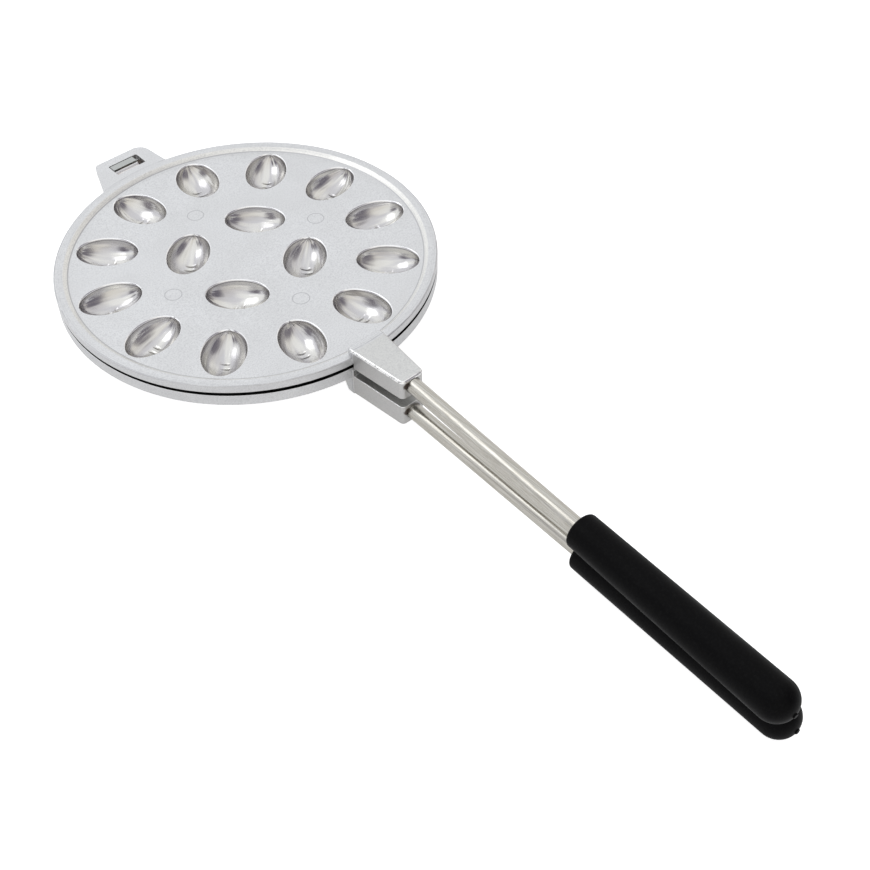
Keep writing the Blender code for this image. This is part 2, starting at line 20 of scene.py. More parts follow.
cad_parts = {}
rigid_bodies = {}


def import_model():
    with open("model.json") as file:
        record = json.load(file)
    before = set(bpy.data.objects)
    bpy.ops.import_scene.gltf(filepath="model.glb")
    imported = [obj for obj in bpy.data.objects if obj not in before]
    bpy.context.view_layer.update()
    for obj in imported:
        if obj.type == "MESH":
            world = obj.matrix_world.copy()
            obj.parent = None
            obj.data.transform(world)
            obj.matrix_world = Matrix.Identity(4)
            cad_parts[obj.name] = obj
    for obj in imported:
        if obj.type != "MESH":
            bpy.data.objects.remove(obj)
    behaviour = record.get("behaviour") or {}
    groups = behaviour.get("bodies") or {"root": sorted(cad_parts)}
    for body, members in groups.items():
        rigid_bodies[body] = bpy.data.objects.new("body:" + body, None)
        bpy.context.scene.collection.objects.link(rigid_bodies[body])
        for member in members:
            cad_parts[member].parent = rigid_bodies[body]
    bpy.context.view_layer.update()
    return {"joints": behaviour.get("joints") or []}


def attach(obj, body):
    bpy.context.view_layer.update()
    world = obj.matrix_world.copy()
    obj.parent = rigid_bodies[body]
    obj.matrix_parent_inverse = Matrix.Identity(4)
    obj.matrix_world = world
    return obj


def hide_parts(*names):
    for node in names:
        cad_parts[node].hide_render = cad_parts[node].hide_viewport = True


Piece = bpy.types.Object
Socket = bpy.types.NodeSocket
Pair = tuple[float, float]
Triple = tuple[float, float, float]
Four = tuple[float, float, float, float]
Five = tuple[float, float, float, float, float]
Rounding = tuple[float, int]
Softening = tuple[float, int, float]

LOG = logging.getLogger("walnut_iron")
MM = 0.001
HAIR = MM / 100
SLIVER = MM / 50
QUARTER_TURN = math.pi / 2
ROUND_ANGLE = math.radians(30)
FLAT_FACE_WEIGHT = 80
FACING = 0.9
RISING = 0.01
CELL_SLOT = 1
EDGE_SLOT = 2


class Half(Enum):
    """The two hinged halves, named as the frame's bodies are."""

    LOWER = "lower_half"
    UPPER = "upper_half"

    @property
    def word(self) -> str:
        """The half's short name."""
        return self.value[:5]


class Cut(Enum):
    """What a Boolean step does with its tool."""

    ADD = "UNION"
    REMOVE = "DIFFERENCE"


# Bench work


def let_go() -> None:
    """Leaves edit mode and deselects every object."""
    active = bpy.context.view_layer.objects.active
    if active is not None and active.mode != "OBJECT":
        bpy.ops.object.mode_set(mode="OBJECT")
    for other in bpy.context.view_layer.objects:
        other.select_set(False)


def hold(piece: Piece) -> None:
    """Makes one piece the only selected and active object."""
    let_go()
    piece.select_set(True)
    bpy.context.view_layer.objects.active = piece


def open_edit(piece: Piece, kind: str = "FACE") -> None:
    """Opens a piece in edit mode with nothing selected."""
    hold(piece)
    bpy.ops.object.mode_set(mode="EDIT")
    bpy.ops.mesh.select_mode(type=kind)
    bpy.ops.mesh.select_all(action="DESELECT")


def close_edit() -> None:
    """Returns to object mode."""
    bpy.ops.object.mode_set(mode="OBJECT")


def pick_faces(piece: Piece, test: Callable[[Vector, Vector], bool]) -> None:
    """Selects, in edit mode, the faces that pass a test.

    Args:
        piece: The object in edit mode.
        test: Takes a face's centre and normal.
    """
    bm = bmesh.from_edit_mesh(piece.data)
    for face in bm.faces:
        face.select_set(bool(test(face.calc_center_median(), face.normal)))
    bmesh.update_edit_mesh(piece.data)

def pick_edges(piece: Piece, test: Callable[[Vector, Vector], bool]) -> None:
    """Turns to edges, in edit mode, and selects only those that pass a test.

    Args:
        piece: The object in edit mode.
        test: Takes the edge's two ends.
    """
    bpy.ops.mesh.select_mode(type="EDGE")
    bpy.ops.mesh.select_all(action="DESELECT")
    bm = bmesh.from_edit_mesh(piece.data)
    for edge in bm.edges:
        edge.select_set(bool(test(edge.verts[0].co, edge.verts[1].co)))
    bmesh.update_edit_mesh(piece.data)

def level(a: Vector, b: Vector) -> bool:
    """Tells whether an edge's ends are at one height."""
    return abs(a.z - b.z) < HAIR


def upright(a: Vector, b: Vector) -> bool:
    """Tells whether an edge's ends are well apart in height."""
    return abs(a.z - b.z) > MM


def bevel(width: float, segments: int) -> None:
    """Rounds the selected edges, in edit mode."""
    bpy.ops.mesh.bevel(offset=width, segments=segments)


def cut_above(height: float, fill: bool) -> None:
    """Cuts away, in edit mode, what stands above a height."""
    bpy.ops.mesh.select_all(action="SELECT")
    bpy.ops.mesh.bisect(plane_co=(0, 0, height), plane_no=(0, 0, 1), use_fill=fill, clear_outer=True)


def close_outward() -> None:
    """Turns every face outward and returns to object mode."""
    bpy.ops.mesh.select_all(action="SELECT")
    bpy.ops.mesh.normals_make_consistent(inside=False)
    close_edit()


def named(name: str) -> Piece:
    """Names the object that an operator just added, and returns it."""
    piece = bpy.context.view_layer.objects.active
    piece.name = name
    piece.data.name = name
    return piece


def settle(piece: Piece) -> None:
    """Puts the object's place and size into its mesh."""
    piece.data.transform(piece.matrix_world)
    piece.matrix_world = Matrix.Identity(4)


def add_disc(name: str, radius: float, low: float, high: float, steps: int) -> Piece:
    """Adds a solid round disc standing on Z.

    Args:
        name: The object's name.
        radius: Its radius.
        low: The height of its lower face.
        high: The height of its upper face.
        steps: How many sides the round has.

    Returns:
        The disc.
    """
    let_go()
    middle = (0, 0, (low + high) / 2)
    bpy.ops.mesh.primitive_cylinder_add(
        vertices=steps, radius=radius, depth=high - low, location=middle, end_fill_type="NGON"
    )
    disc = named(name)
    settle(disc)
    return disc


def add_block(name: str, low: Iterable[float], high: Iterable[float]) -> Piece:
    """Adds a box between two corners, to be shaped further.

    Args:
        name: The object's name.
        low: Its lowest corner.
        high: Its highest corner.

    Returns:
        The box.
    """
    let_go()
    first, last = Vector(low), Vector(high)
    bpy.ops.mesh.primitive_cube_add(size=1, location=(first + last) / 2, scale=last - first)
    block = named(name)
    settle(block)
    return block


def add_ball(name: str, sizes: Triple, height: float, segments: int, rings: int) -> Piece:
    """Adds an ellipsoid over the origin.

    Args:
        name: The object's name.
        sizes: Half its size along each axis.
        height: The height of its middle.
        segments: How many sides it has around Z.
        rings: How many rows it has from pole to pole.

    Returns:
        The ellipsoid.
    """
    let_go()
    bpy.ops.mesh.primitive_uv_sphere_add(segments=segments, ring_count=rings, radius=1)
    ball = named(name)
    ball.scale = sizes
    ball.location = (0, 0, height)
    bpy.context.view_layer.update()
    settle(ball)
    return ball


def carve(piece: Piece, tool: Piece, how: Cut) -> None:
    """Applies a Boolean step between two closed bodies and throws the tool away.

    Args:
        piece: The object that is changed.
        tool: The object that changes it.
        how: Whether the tool is added or removed.
    """
    hold(piece)
    step = piece.modifiers.new("carve", "BOOLEAN")
    step.operation = how.value
    step.solver = "MANIFOLD"
    step.object = tool
    bpy.ops.object.modifier_apply(modifier=step.name)
    bpy.data.objects.remove(tool, do_unlink=True)


def carve_each(piece: Piece, tool: Piece, places: list[Matrix], how: Cut) -> None:
    """Applies a Boolean step with a copy of the tool at each place, one after another.

    Args:
        piece: The object that is changed.
        tool: The object modelled about the origin; it is used up.
        places: Where each copy stands.
        how: Whether the copies are added or removed.
    """
    for place in places:
        one = tool.copy()
        one.data = tool.data.copy()
        one.data.transform(place)
        bpy.context.scene.collection.objects.link(one)
        carve(piece, one, how)
    bpy.data.objects.remove(tool, do_unlink=True)


def soften(piece: Piece, width: float, segments: int = 3, angle: float = 40) -> None:
    """Rounds the sharp edges with a Bevel modifier.

    Args:
        piece: The object.
        width: The rounding's width.
        segments: How many faces the rounding has.
        angle: The least angle in degrees that counts as sharp.
    """
    hold(piece)
    step = piece.modifiers.new("soften", "BEVEL")
    step.width = width
    step.segments = segments
    step.limit_method = "ANGLE"
    step.angle_limit = math.radians(angle)
    bpy.ops.object.modifier_apply(modifier=step.name)


def smooth(piece: Piece, angle: float = ROUND_ANGLE) -> None:
    """Shades round places smooth and keeps flat faces flat."""
    hold(piece)
    bpy.ops.object.shade_smooth_by_angle(angle=angle)
    step = piece.modifiers.new("flat_faces", "WEIGHTED_NORMAL")
    step.keep_sharp = True
    step.weight = FLAT_FACE_WEIGHT
    bpy.ops.object.modifier_apply(modifier=step.name)


# Sizes


@dataclass(frozen=True)
class Cells:
    """The sixteen walnut cells that both halves share."""

    outer_count: int = 12
    inner_count: int = 4
    outer_ring: float = 70.5 * MM
    inner_ring: float = 29.3 * MM
    length: float = 31.8 * MM
    width: float = 22.2 * MM
    depth: float = 9.2 * MM
    wall: float = 2.4 * MM
    dough: float = 2.4 * MM
    cavity_depth: float = 11.5 * MM
    segments: int = 48
    rings: int = 24
    seed_steps: Triple = (3.1, 1.7, 0.9)

    def places(self) -> list[Matrix]:
        """Gives each cell's place, its long side along the local X.

        Returns:
            One matrix for each cell, at the parting face's height.
        """
        found = []
        rings = ((self.outer_count, self.outer_ring, 0.0), (self.inner_count, self.inner_ring, QUARTER_TURN))
        for count, ring, turn in rings:
            for cell in range(count):
                angle = (cell + 0.5) * 2 * math.pi / count
                centre = Matrix.Translation((ring * math.cos(angle), ring * math.sin(angle), 0))
                found.append(centre @ Matrix.Rotation(angle + turn, 4, "Z"))
        return found

    def ball(self, name: str, grow: float, depth: float, height: float, whole: bool = True) -> Piece:
        """Makes one cell's ellipsoid about the origin.

        Args:
            name: The tool's name.
            grow: How far the ellipsoid reaches beyond the recess in plan.
            depth: How deep it reaches below its middle.
            height: The height of its middle.
            whole: Whether it keeps its upper half, or ends flat at its middle.

        Returns:
            The ellipsoid.
        """
        sizes = (self.length / 2 + grow, self.width / 2 + grow, depth)
        tool = add_ball(name, sizes, height, self.segments, self.rings)
        if not whole:
            open_edit(tool, "EDGE")
            cut_above(height, fill=True)
            close_outward()
        return tool


@dataclass(frozen=True)
class Hinge:
    """The loose hinge: the ear's window hangs on the cast hook."""

    y: float = 104.9 * MM
    z: float = 1.2 * MM
    nose: float = 3.2 * MM
    rest_opening: float = 0.0067534

    @property
    def axis(self) -> Vector:
        """A point on the hinge axis, in the model's own frame."""
        return Vector((0, self.y, self.z))

    def carry(self, half: Half, origin: Vector) -> Matrix:
        """Gives the matrix that carries a half from its modelled place to its place in the frame.

        Args:
            half: Which half the piece belongs to.
            origin: Where the lower parting face's centre is in the frame.

        Returns:
            The matrix.
        """
        shift = Matrix.Translation(origin)
        if half is Half.LOWER:
            return shift
        turn = Matrix.Rotation(-self.rest_opening, 4, "X")
        return shift @ Matrix.Translation(self.axis) @ turn @ Matrix.Translation(-self.axis)


@dataclass(frozen=True)
class Lean:
    """How far the ear and the handles stand off the iron's middle line."""

    hook_x: float = -2.4 * MM
    handle_lean: float = math.radians(1.92)
    splay: float = 0.0143960

    def turn(self, half: Half) -> float:
        """The handle's turn about Z at its socket's mouth."""
        return -self.handle_lean + (self.splay if half is Half.LOWER else -self.splay)


def across(place: Vector) -> Matrix:
    """A frame at a place, its Z along the iron's X."""
    return Matrix.Translation(place) @ Matrix.Rotation(QUARTER_TURN, 4, "Y")


@dataclass(frozen=True)
class CrossPin:
    """The steel pin that goes through each socket and its tube, its hole drilled from the right side."""

    y: float = -110.7 * MM
    left: float = -6.04 * MM
    right: float = 7.34 * MM
    radius: float = 1.5 * MM
    chamfer: Rounding = (0.3 * MM, 2)
    hole_radius: float = 1.8 * MM
    hole_deeper: float = 0.3 * MM
    drill_reach: float = 5 * MM
    tube_drill: float = 10 * MM
    steps: int = 32

    def place(self, half: Half) -> Matrix:
        """The pin's own frame, its Z along the iron's X."""
        return across(Vector((0, self.y, TUBE_HEIGHTS[half])))

    def tool(self, half: Half) -> Piece:
        """Makes the round tool that drills the hole in a casting."""
        low, high = self.left - self.hole_deeper, self.right + self.drill_reach
        tool = add_disc("pin_hole", self.hole_radius, low, high, self.steps)
        tool.data.transform(self.place(half))
        return tool


CELLS = Cells()
HINGE = Hinge()
LEAN = Lean()
PIN = CrossPin()
SOCKET_FRONT = -125.7 * MM
TUBE_HEIGHTS = {Half.LOWER: -10.8 * MM, Half.UPPER: 3.7 * MM}
TARNISH_OFFSET = (-3.6 * MM, 1.6 * MM)


def handle_place(half: Half) -> Matrix:
    """A handle's own frame: its origin at the socket's mouth, its Z along the handle."""
    mouth = Matrix.Translation((0, SOCKET_FRONT, TUBE_HEIGHTS[half]))
    return mouth @ Matrix.Rotation(LEAN.turn(half), 4, "Z") @ Matrix.Rotation(QUARTER_TURN, 4, "X")


def mark_cells(casting: Piece, test: Callable[[Vector, Vector], bool]) -> None:
    """Gives the walnut forms their own finish slot and each point its place in its own cell.

    Args:
        casting: The casting in its own frame.
        test: Takes a face's centre and normal, and tells whether it belongs to a walnut form.
    """
    mesh = casting.data
    inverse = [place.inverted() for place in CELLS.places()]
    for name in ("cell", "seed"):
        mesh.attributes.new(name, "FLOAT_VECTOR", "CORNER")
    stored, seeds = mesh.attributes["cell"], mesh.attributes["seed"]
    for face in mesh.polygons:
        if not test(face.center, face.normal):
            continue
        face.material_index = CELL_SLOT
        cell = min(range(len(inverse)), key=lambda i: (inverse[i] @ face.center).xy.length)
        seed = Vector([cell * step for step in CELLS.seed_steps])
        for corner in face.loop_indices:
            spot = inverse[cell] @ mesh.vertices[mesh.loops[corner].vertex_index].co
            stored.data[corner].vector = spot
            seeds.data[corner].vector = seed


def mark_edges(casting: Piece) -> None:
    """Gives the rounded upper edges at the left and front of the socket their own finish slot, for their
    painted highlight.
    """
    plate_end = 97.5 * MM
    steepest, flattest = 0.15, 0.95
    rightmost, farthest = 0.35, 0.5
    for face in casting.data.polygons:
        spot, normal = face.center, face.normal
        rounded = spot.xy.length > plate_end and spot.y < 0 and steepest < normal.z < flattest
        if rounded and normal.x < rightmost and normal.y < farthest:
            face.material_index = EDGE_SLOT


# Finishes


class Nodes:
    """A short way to lay out the nodes of a material or of the room's light."""

    def __init__(self, tree: bpy.types.NodeTree, coords: str) -> None:
        """Starts with the coordinates that the patterns are read from.

        Args:
            tree: The node tree.
            coords: Which of the texture coordinates are used.
        """
        self.tree = tree
        self.given = self.add("ShaderNodeTexCoord", {}).outputs
        self.coords = self.given[coords]

    def feed(self, target: Socket, value: object) -> None:
        """Joins an output to an input, or sets the input's own value."""
        if isinstance(value, Socket):
            self.tree.links.new(value, target)
        else:
            target.default_value = value

    def add(self, kind: str, inputs: dict[str | int, object], **settings: str) -> bpy.types.Node:
        """Adds a node.

        Args:
            kind: Its type.
            inputs: What each input gets, a value or another node's output.
            settings: Its other settings.

        Returns:
            The node.
        """
        node = self.tree.nodes.new(kind)
        for name, value in settings.items():
            setattr(node, name, value)
        for name, value in inputs.items():
            self.feed(node.inputs[name], value)
        return node

    def vector(self, how: str, first: Socket, second: object = (0, 0, 0)) -> Socket:
        """One step of vector arithmetic.

        Args:
            how: The Vector Math node's operation.
            first: Its first vector.
            second: Its second vector.

        Returns:
            The result, a value for a distance or a dot product.
        """
        node = self.add("ShaderNodeVectorMath", {0: first, 1: second}, operation=how)
        return node.outputs["Value" if how in ("DISTANCE", "DOT_PRODUCT") else "Vector"]

    def math(self, how: str, first: Socket | float, second: Socket | float = 0) -> Socket:
        """One step of arithmetic, its operation named as the Math node names it."""
        return self.add("ShaderNodeMath", {0: first, 1: second}, operation=how).outputs[0]

    def times(self, first: Socket, second: Socket | float) -> Socket:
        """The product of two values."""
        return self.math("MULTIPLY", first, second)

    def part(self, vector: Socket, axis: int) -> Socket:
        """One part of a vector, 0 for X, 1 for Y and 2 for Z."""
        return self.add("ShaderNodeSeparateXYZ", {0: vector}).outputs[axis]

    def mapped(self, scale: Iterable[float], place: Iterable[float] = (0, 0, 0)) -> Socket:
        """The coordinates, moved so that a place becomes the origin and then stretched."""
        return self.vector("MULTIPLY", self.vector("SUBTRACT", self.coords, place), scale)

    def noise(self, vector: Socket, scale: float, detail: float, rough: float) -> Socket:
        """A noise pattern.

        Args:
            vector: Where it is read.
            scale: Its scale on that vector.
            detail: How many octaves it has.
            rough: How strong the finer octaves are.

        Returns:
            The pattern's value.
        """
        inputs = {"Vector": vector, "Scale": scale, "Detail": detail, "Roughness": rough}
        return self.add("ShaderNodeTexNoise", inputs).outputs["Fac"]

    def curve(self, value: Socket, low: float, high: float, start: float, end: float) -> Socket:
        """Maps a value from one range to another, with a soft start and end.

        Args:
            value: What is mapped.
            low: Where the range starts.
            high: Where it ends.
            start: What its start becomes.
            end: What its end becomes.

        Returns:
            The mapped value.
        """
        inputs = {"Value": value, "From Min": low, "From Max": high, "To Min": start, "To Max": end}
        return self.add("ShaderNodeMapRange", inputs, interpolation_type="SMOOTHSTEP").outputs["Result"]

    def band(
        self, value: Socket, start: float, full: float, fading: float, gone: float, top: float
    ) -> Socket:
        """A soft band: 0 up to its start, its top from where it is full, and 0 again where it is gone."""
        return self.times(self.curve(value, start, full, 0, top), self.curve(value, fading, gone, 1, 0))

    def strip(self, value: Socket, middle: float, full: float, gone: float, top: float) -> Socket:
        """A soft strip about a middle value: its top up to one distance, and 0 from another."""
        off = self.math("ABSOLUTE", self.math("SUBTRACT", value, middle))
        return self.curve(off, full, gone, top, 0)

    def mix(self, share: Socket, first: object, second: object) -> Socket:
        """Mixes two colours.

        Args:
            share: How much of the second shows.
            first: A colour or a colour output.
            second: The same.

        Returns:
            The mixed colour.
        """
        one, two = ((*colour, 1) if isinstance(colour, tuple) else colour for colour in (first, second))
        return self.add("ShaderNodeMix", {"Factor": share, 6: one, 7: two}, data_type="RGBA").outputs[2]

    def bump(
        self, height: Socket, distance: float, strength: float = 1, under: Socket | None = None
    ) -> Socket:
        """Raises the surface by a height.

        Args:
            height: The height, from 0 to 1.
            distance: What a height of 1 measures in metres.
            strength: The share of it that shows.
            under: A normal from an earlier bump.

        Returns:
            The normal.
        """
        inputs = {"Height": height, "Distance": distance, "Strength": strength}
        if under is not None:
            inputs["Normal"] = under
        return self.add("ShaderNodeBump", inputs).outputs["Normal"]

    def away(self, vector: Socket, centre: Iterable[float], axes: Iterable[float]) -> Socket:
        """The distance from a centre, counted along the axes that are 1 and not along those that are 0."""
        return self.vector("DISTANCE", self.vector("MULTIPLY", vector, axes), centre)

    def spot(self, centre: Vector, radius: float, blur: float) -> Socket:
        """A soft round spot in the frame, half gone at its radius."""
        away = self.vector("DISTANCE", self.coords, centre)
        return self.curve(away, radius - blur / 2, radius + blur / 2, 1, 0)


class Finish(Nodes):
    """The nodes of one material, read in the piece's own coordinates."""

    def __init__(self, name: str) -> None:
        """Starts a material with a Principled shader."""
        self.material = bpy.data.materials.new(name)
        self.material.use_nodes = True
        super().__init__(self.material.node_tree, "Object")
        self.shader = self.tree.nodes["Principled BSDF"]

    def stored(self, name: str) -> Socket:
        """A vector stored on the mesh under a name."""
        return self.add("ShaderNodeAttribute", {}, attribute_name=name).outputs["Vector"]

    def done(self, inputs: dict[str, object]) -> bpy.types.Material:
        """Feeds the shader's inputs and gives the material."""
        for name, value in inputs.items():
            self.feed(self.shader.inputs[name], value)
        return self.material


@dataclass(frozen=True)
class CastAluminium:
    """Satin aluminium as cast: fine grain, turned lines on the rim, ejector marks, a tarnished patch by the
    tube, and painted shade and highlights.

    A pattern is its scale, detail and roughness. A curve is where a value starts and ends and what it becomes
    there. A band is where it starts, is full, fades and is gone, and its top. A strip is its middle, how far
    from it the strip is full and gone, and its top.
    """

    name: str
    colour: Triple = (0.725, 0.73, 0.735)
    shade: Triple = (0.685, 0.688, 0.69)
    block: Triple = (0.655, 0.655, 0.64)
    # The line colour also paints the shade in the crease at the foot of the rim's slope.
    line: Triple = (0.42, 0.42, 0.43)
    block_side_shade: Triple = (0.56, 0.555, 0.545)
    residue: Triple = (0.46, 0.34, 0.25)
    parting_shade: Triple = (0.03, 0.03, 0.03)
    tongue: Triple = (0.45, 0.465, 0.45)
    slope_highlight: Triple = (0.88, 0.87, 0.83)
    edge_highlight: Triple = (0.97, 0.97, 0.97)
    # This colour paints both the tarnished patch by the tube and the shade at the hook's end.
    tarnish_and_shade: Triple = (0.055, 0.035, 0.025)
    clouds: Triple = (45, 3, 0.5)
    grain: Triple = (1500, 3, 0.65)
    patches: Triple = (700, 3, 0.6)
    turned: Triple = (1, 2, 0.6)
    turned_across: float = 2600
    turned_drift: float = 3.5
    drift: Triple = (18, 1, 0.55)
    scuffs: Triple = (1, 3, 0.7)
    scuff_stretch: Triple = (1500, 60, 1500)
    cloud_curve: Four = (0.35, 0.65, 0, 1)
    grain_curve: Four = (0.30, 0.62, 0.45, 0)
    rough_curve: Four = (0.3, 0.7, 0.39, 0.47)
    turned_curve: Four = (0.45, 0.72, 0, 0.35)
    tarnish_and_shade_curve: Four = (0.85, 1.25, 0, 0.92)
    rim_curve: Four = (88.0 * MM, 89.0 * MM, 0, 1)
    outside_curve: Four = (95.2 * MM, 95.6 * MM, 0, 1)
    steep_curve: Four = (0.15, 0.55, 1, 0)
    slope_highlight_band: Five = (88.2 * MM, 88.6 * MM, 90.1 * MM, 90.6 * MM, 0.85)
    foot_shade_strip: Four = (88.2 * MM, 0.1 * MM, 0.45 * MM, 0.8)
    edge_strip: Four = (94.45 * MM, 0.1 * MM, 0.3 * MM, 0.75)
    edge_breaks: Four = (0.4, 0.5, 0, 1)
    block_strip: Four = (-110 * MM, 30 * MM, 35 * MM, 1)
    residue_strip: Four = (101.4 * MM, 1.5 * MM, 2.3 * MM, 0.75)
    tongue_strip: Four = (106 * MM, 2.3 * MM, 2.6 * MM, 0.9)
    parting_shade_band: Five = (92 * MM, 92.8 * MM, 94.7 * MM, 94.8 * MM, 0.95)
    parting_shade_facing: Four = (0.9, 0.95, 0, 1)
    edge_highlight_facing: Five = (0.1, 0.3, 0.9, 0.97, 1)
    edge_highlight_curve: Four = (94.2 * MM, 94.4 * MM, 0, 1)
    edge_highlight_breaks: Four = (0.4, 0.55, 0.4, 1)
    mark_ring: float = 44.0 * MM
    mark_strip: Four = (4.15 * MM, 0.08 * MM, 0.34 * MM, 1)
    mark_share: float = 0.8
    mark_depth: float = 1.5
    tube_stain: Pair = (2.3 * MM, 3.0 * MM)
    hook_end_shade: Pair = (3.4 * MM, 2.0 * MM)
    hook_end: Triple = (6.0 * MM, 104.9 * MM, 1.0 * MM)
    patch_share: float = 0.8
    grain_height: float = 0.6
    turned_height: float = 0.8
    scuff_height: float = 0.2
    relief: Pair = (0.02 * MM, 0.6)

    def ejector_lines(self, nodes: Finish, here: Socket) -> Socket:
        """Draws the four thin circles that the mold maker's ejector pins leave on the recessed face.

        Args:
            nodes: The material's nodes.
            here: The place, measured from the plate's centre.

        Returns:
            1 on the lines and 0 off them.
        """
        folded = nodes.vector("ABSOLUTE", here)
        found = []
        for centre in ((self.mark_ring, 0, 0), (0, self.mark_ring, 0)):
            found.append(nodes.strip(nodes.away(folded, centre, (1, 1, 0)), *self.mark_strip))
        return nodes.math("MAXIMUM", *found)

    def turned_lines(self, nodes: Finish, radius: Socket) -> Socket:
        """The lathe's lines, which run round the rim.

        Args:
            nodes: The material's nodes.
            radius: The distance from the plate's centre.

        Returns:
            The pattern.
        """
        drift = nodes.times(nodes.noise(nodes.mapped((1, 1, 1)), *self.drift), self.turned_drift)
        polar = nodes.add("ShaderNodeCombineXYZ", {0: nodes.times(radius, self.turned_across), 1: drift})
        return nodes.noise(polar.outputs[0], *self.turned)

    def make(self, origin: Vector, tube_entry: Vector, marked: bool) -> bpy.types.Material:
        """Builds the material.

        Args:
            origin: Where the plate's centre is in the frame.
            tube_entry: Where the tube leaves the socket.
            marked: Whether this is the upper half, with ejector marks and without a hook.

        Returns:
            The material.
        """
        nodes = Finish(self.name)
        here = nodes.mapped((1, 1, 1), origin)
        along = nodes.part(here, 1)
        radius = nodes.away(here, (0, 0, 0), (1, 1, 0))
        upward = nodes.part(nodes.given["Normal"], 2)
        clouds = nodes.noise(here, *self.clouds)
        grain = nodes.noise(here, *self.grain)
        base = nodes.mix(nodes.curve(clouds, *self.cloud_curve), self.shade, self.colour)
        # Painted highlight: the rim's slope is painted a lighter, warmer colour.
        base = nodes.mix(nodes.band(radius, *self.slope_highlight_band), base, self.slope_highlight)
        outside = nodes.curve(radius, *self.outside_curve)
        block = nodes.times(outside, nodes.strip(along, *self.block_strip))
        base = nodes.mix(block, base, self.block)
        # Painted shade: the socket block's steep sides are painted darker than its top.
        steep = nodes.curve(nodes.math("ABSOLUTE", upward), *self.steep_curve)
        base = nodes.mix(nodes.times(block, steep), base, self.block_side_shade)
        base = nodes.mix(nodes.curve(grain, *self.grain_curve), base, self.line)
        rim = nodes.math("SUBTRACT", nodes.curve(radius, *self.rim_curve), outside)
        turned = self.turned_lines(nodes, radius)
        scuffs = nodes.noise(nodes.mapped(self.scuff_stretch, origin), *self.scuffs)
        edge = nodes.times(nodes.strip(radius, *self.edge_strip), nodes.curve(clouds, *self.edge_breaks))
        edge_marks = nodes.math("MAXIMUM", nodes.times(rim, nodes.curve(turned, *self.turned_curve)), edge)
        # Painted shade: a thin dark line along the crease at the foot of the rim's slope joins the rim's
        # lines.
        lines = nodes.math("MAXIMUM", edge_marks, nodes.strip(radius, *self.foot_shade_strip))
        base = nodes.mix(lines, base, self.line)
        height = nodes.times(grain, self.grain_height)
        for pattern, share in ((turned, self.turned_height), (scuffs, self.scuff_height)):
            height = nodes.math("ADD", height, nodes.times(rim, nodes.times(pattern, share)))
        if marked:
            circles = self.ejector_lines(nodes, here)
            base = nodes.mix(nodes.times(circles, self.mark_share), base, self.line)
            height = nodes.math("SUBTRACT", height, nodes.times(circles, self.mark_depth))
        else:
            base = nodes.mix(nodes.strip(along, *self.residue_strip), base, self.residue)
            base = nodes.mix(nodes.strip(along, *self.tongue_strip), base, self.tongue)
        facing = nodes.times(upward, -1 if marked else 1)
        # Painted shade: the outer ring of each parting face is painted near-black, for the shade in the gap
        # between the halves.
        parting_shade_mask = nodes.times(nodes.curve(facing, *self.parting_shade_facing), nodes.band(radius, *self.parting_shade_band))
        base = nodes.mix(parting_shade_mask, base, self.parting_shade)
        beside = nodes.spot(tube_entry, *self.tube_stain)
        if not marked:
            # Painted highlight: on the lower half, up-tilted rounded faces at the outer edge are painted
            # near-white, broken by the clouds.
            edge_highlight_mask = nodes.band(facing, *self.edge_highlight_facing)
            edge_highlight_mask = nodes.times(edge_highlight_mask, nodes.curve(radius, *self.edge_highlight_curve))
            edge_highlight_mask = nodes.times(edge_highlight_mask, nodes.curve(clouds, *self.edge_highlight_breaks))
            base = nodes.mix(edge_highlight_mask, base, self.edge_highlight)
            # Painted shade: a dark spot at the hook's right end, in the gap under the ear's window.
            end = nodes.spot(origin + Vector(self.hook_end), *self.hook_end_shade)
            beside = nodes.math("MAXIMUM", beside, end)
        patches = nodes.times(nodes.noise(here, *self.patches), self.patch_share)
        # One mask for the real tarnished patch by the tube and the painted shade at the hook's end.
        tarnish_and_shade_mask = nodes.curve(nodes.math("ADD", beside, patches), *self.tarnish_and_shade_curve)
        return nodes.done({
            "Base Color": nodes.mix(tarnish_and_shade_mask, base, self.tarnish_and_shade),
            "Metallic": 1,
            "Roughness": nodes.curve(clouds, *self.rough_curve),
            "Normal": nodes.bump(height, *self.relief),
        })


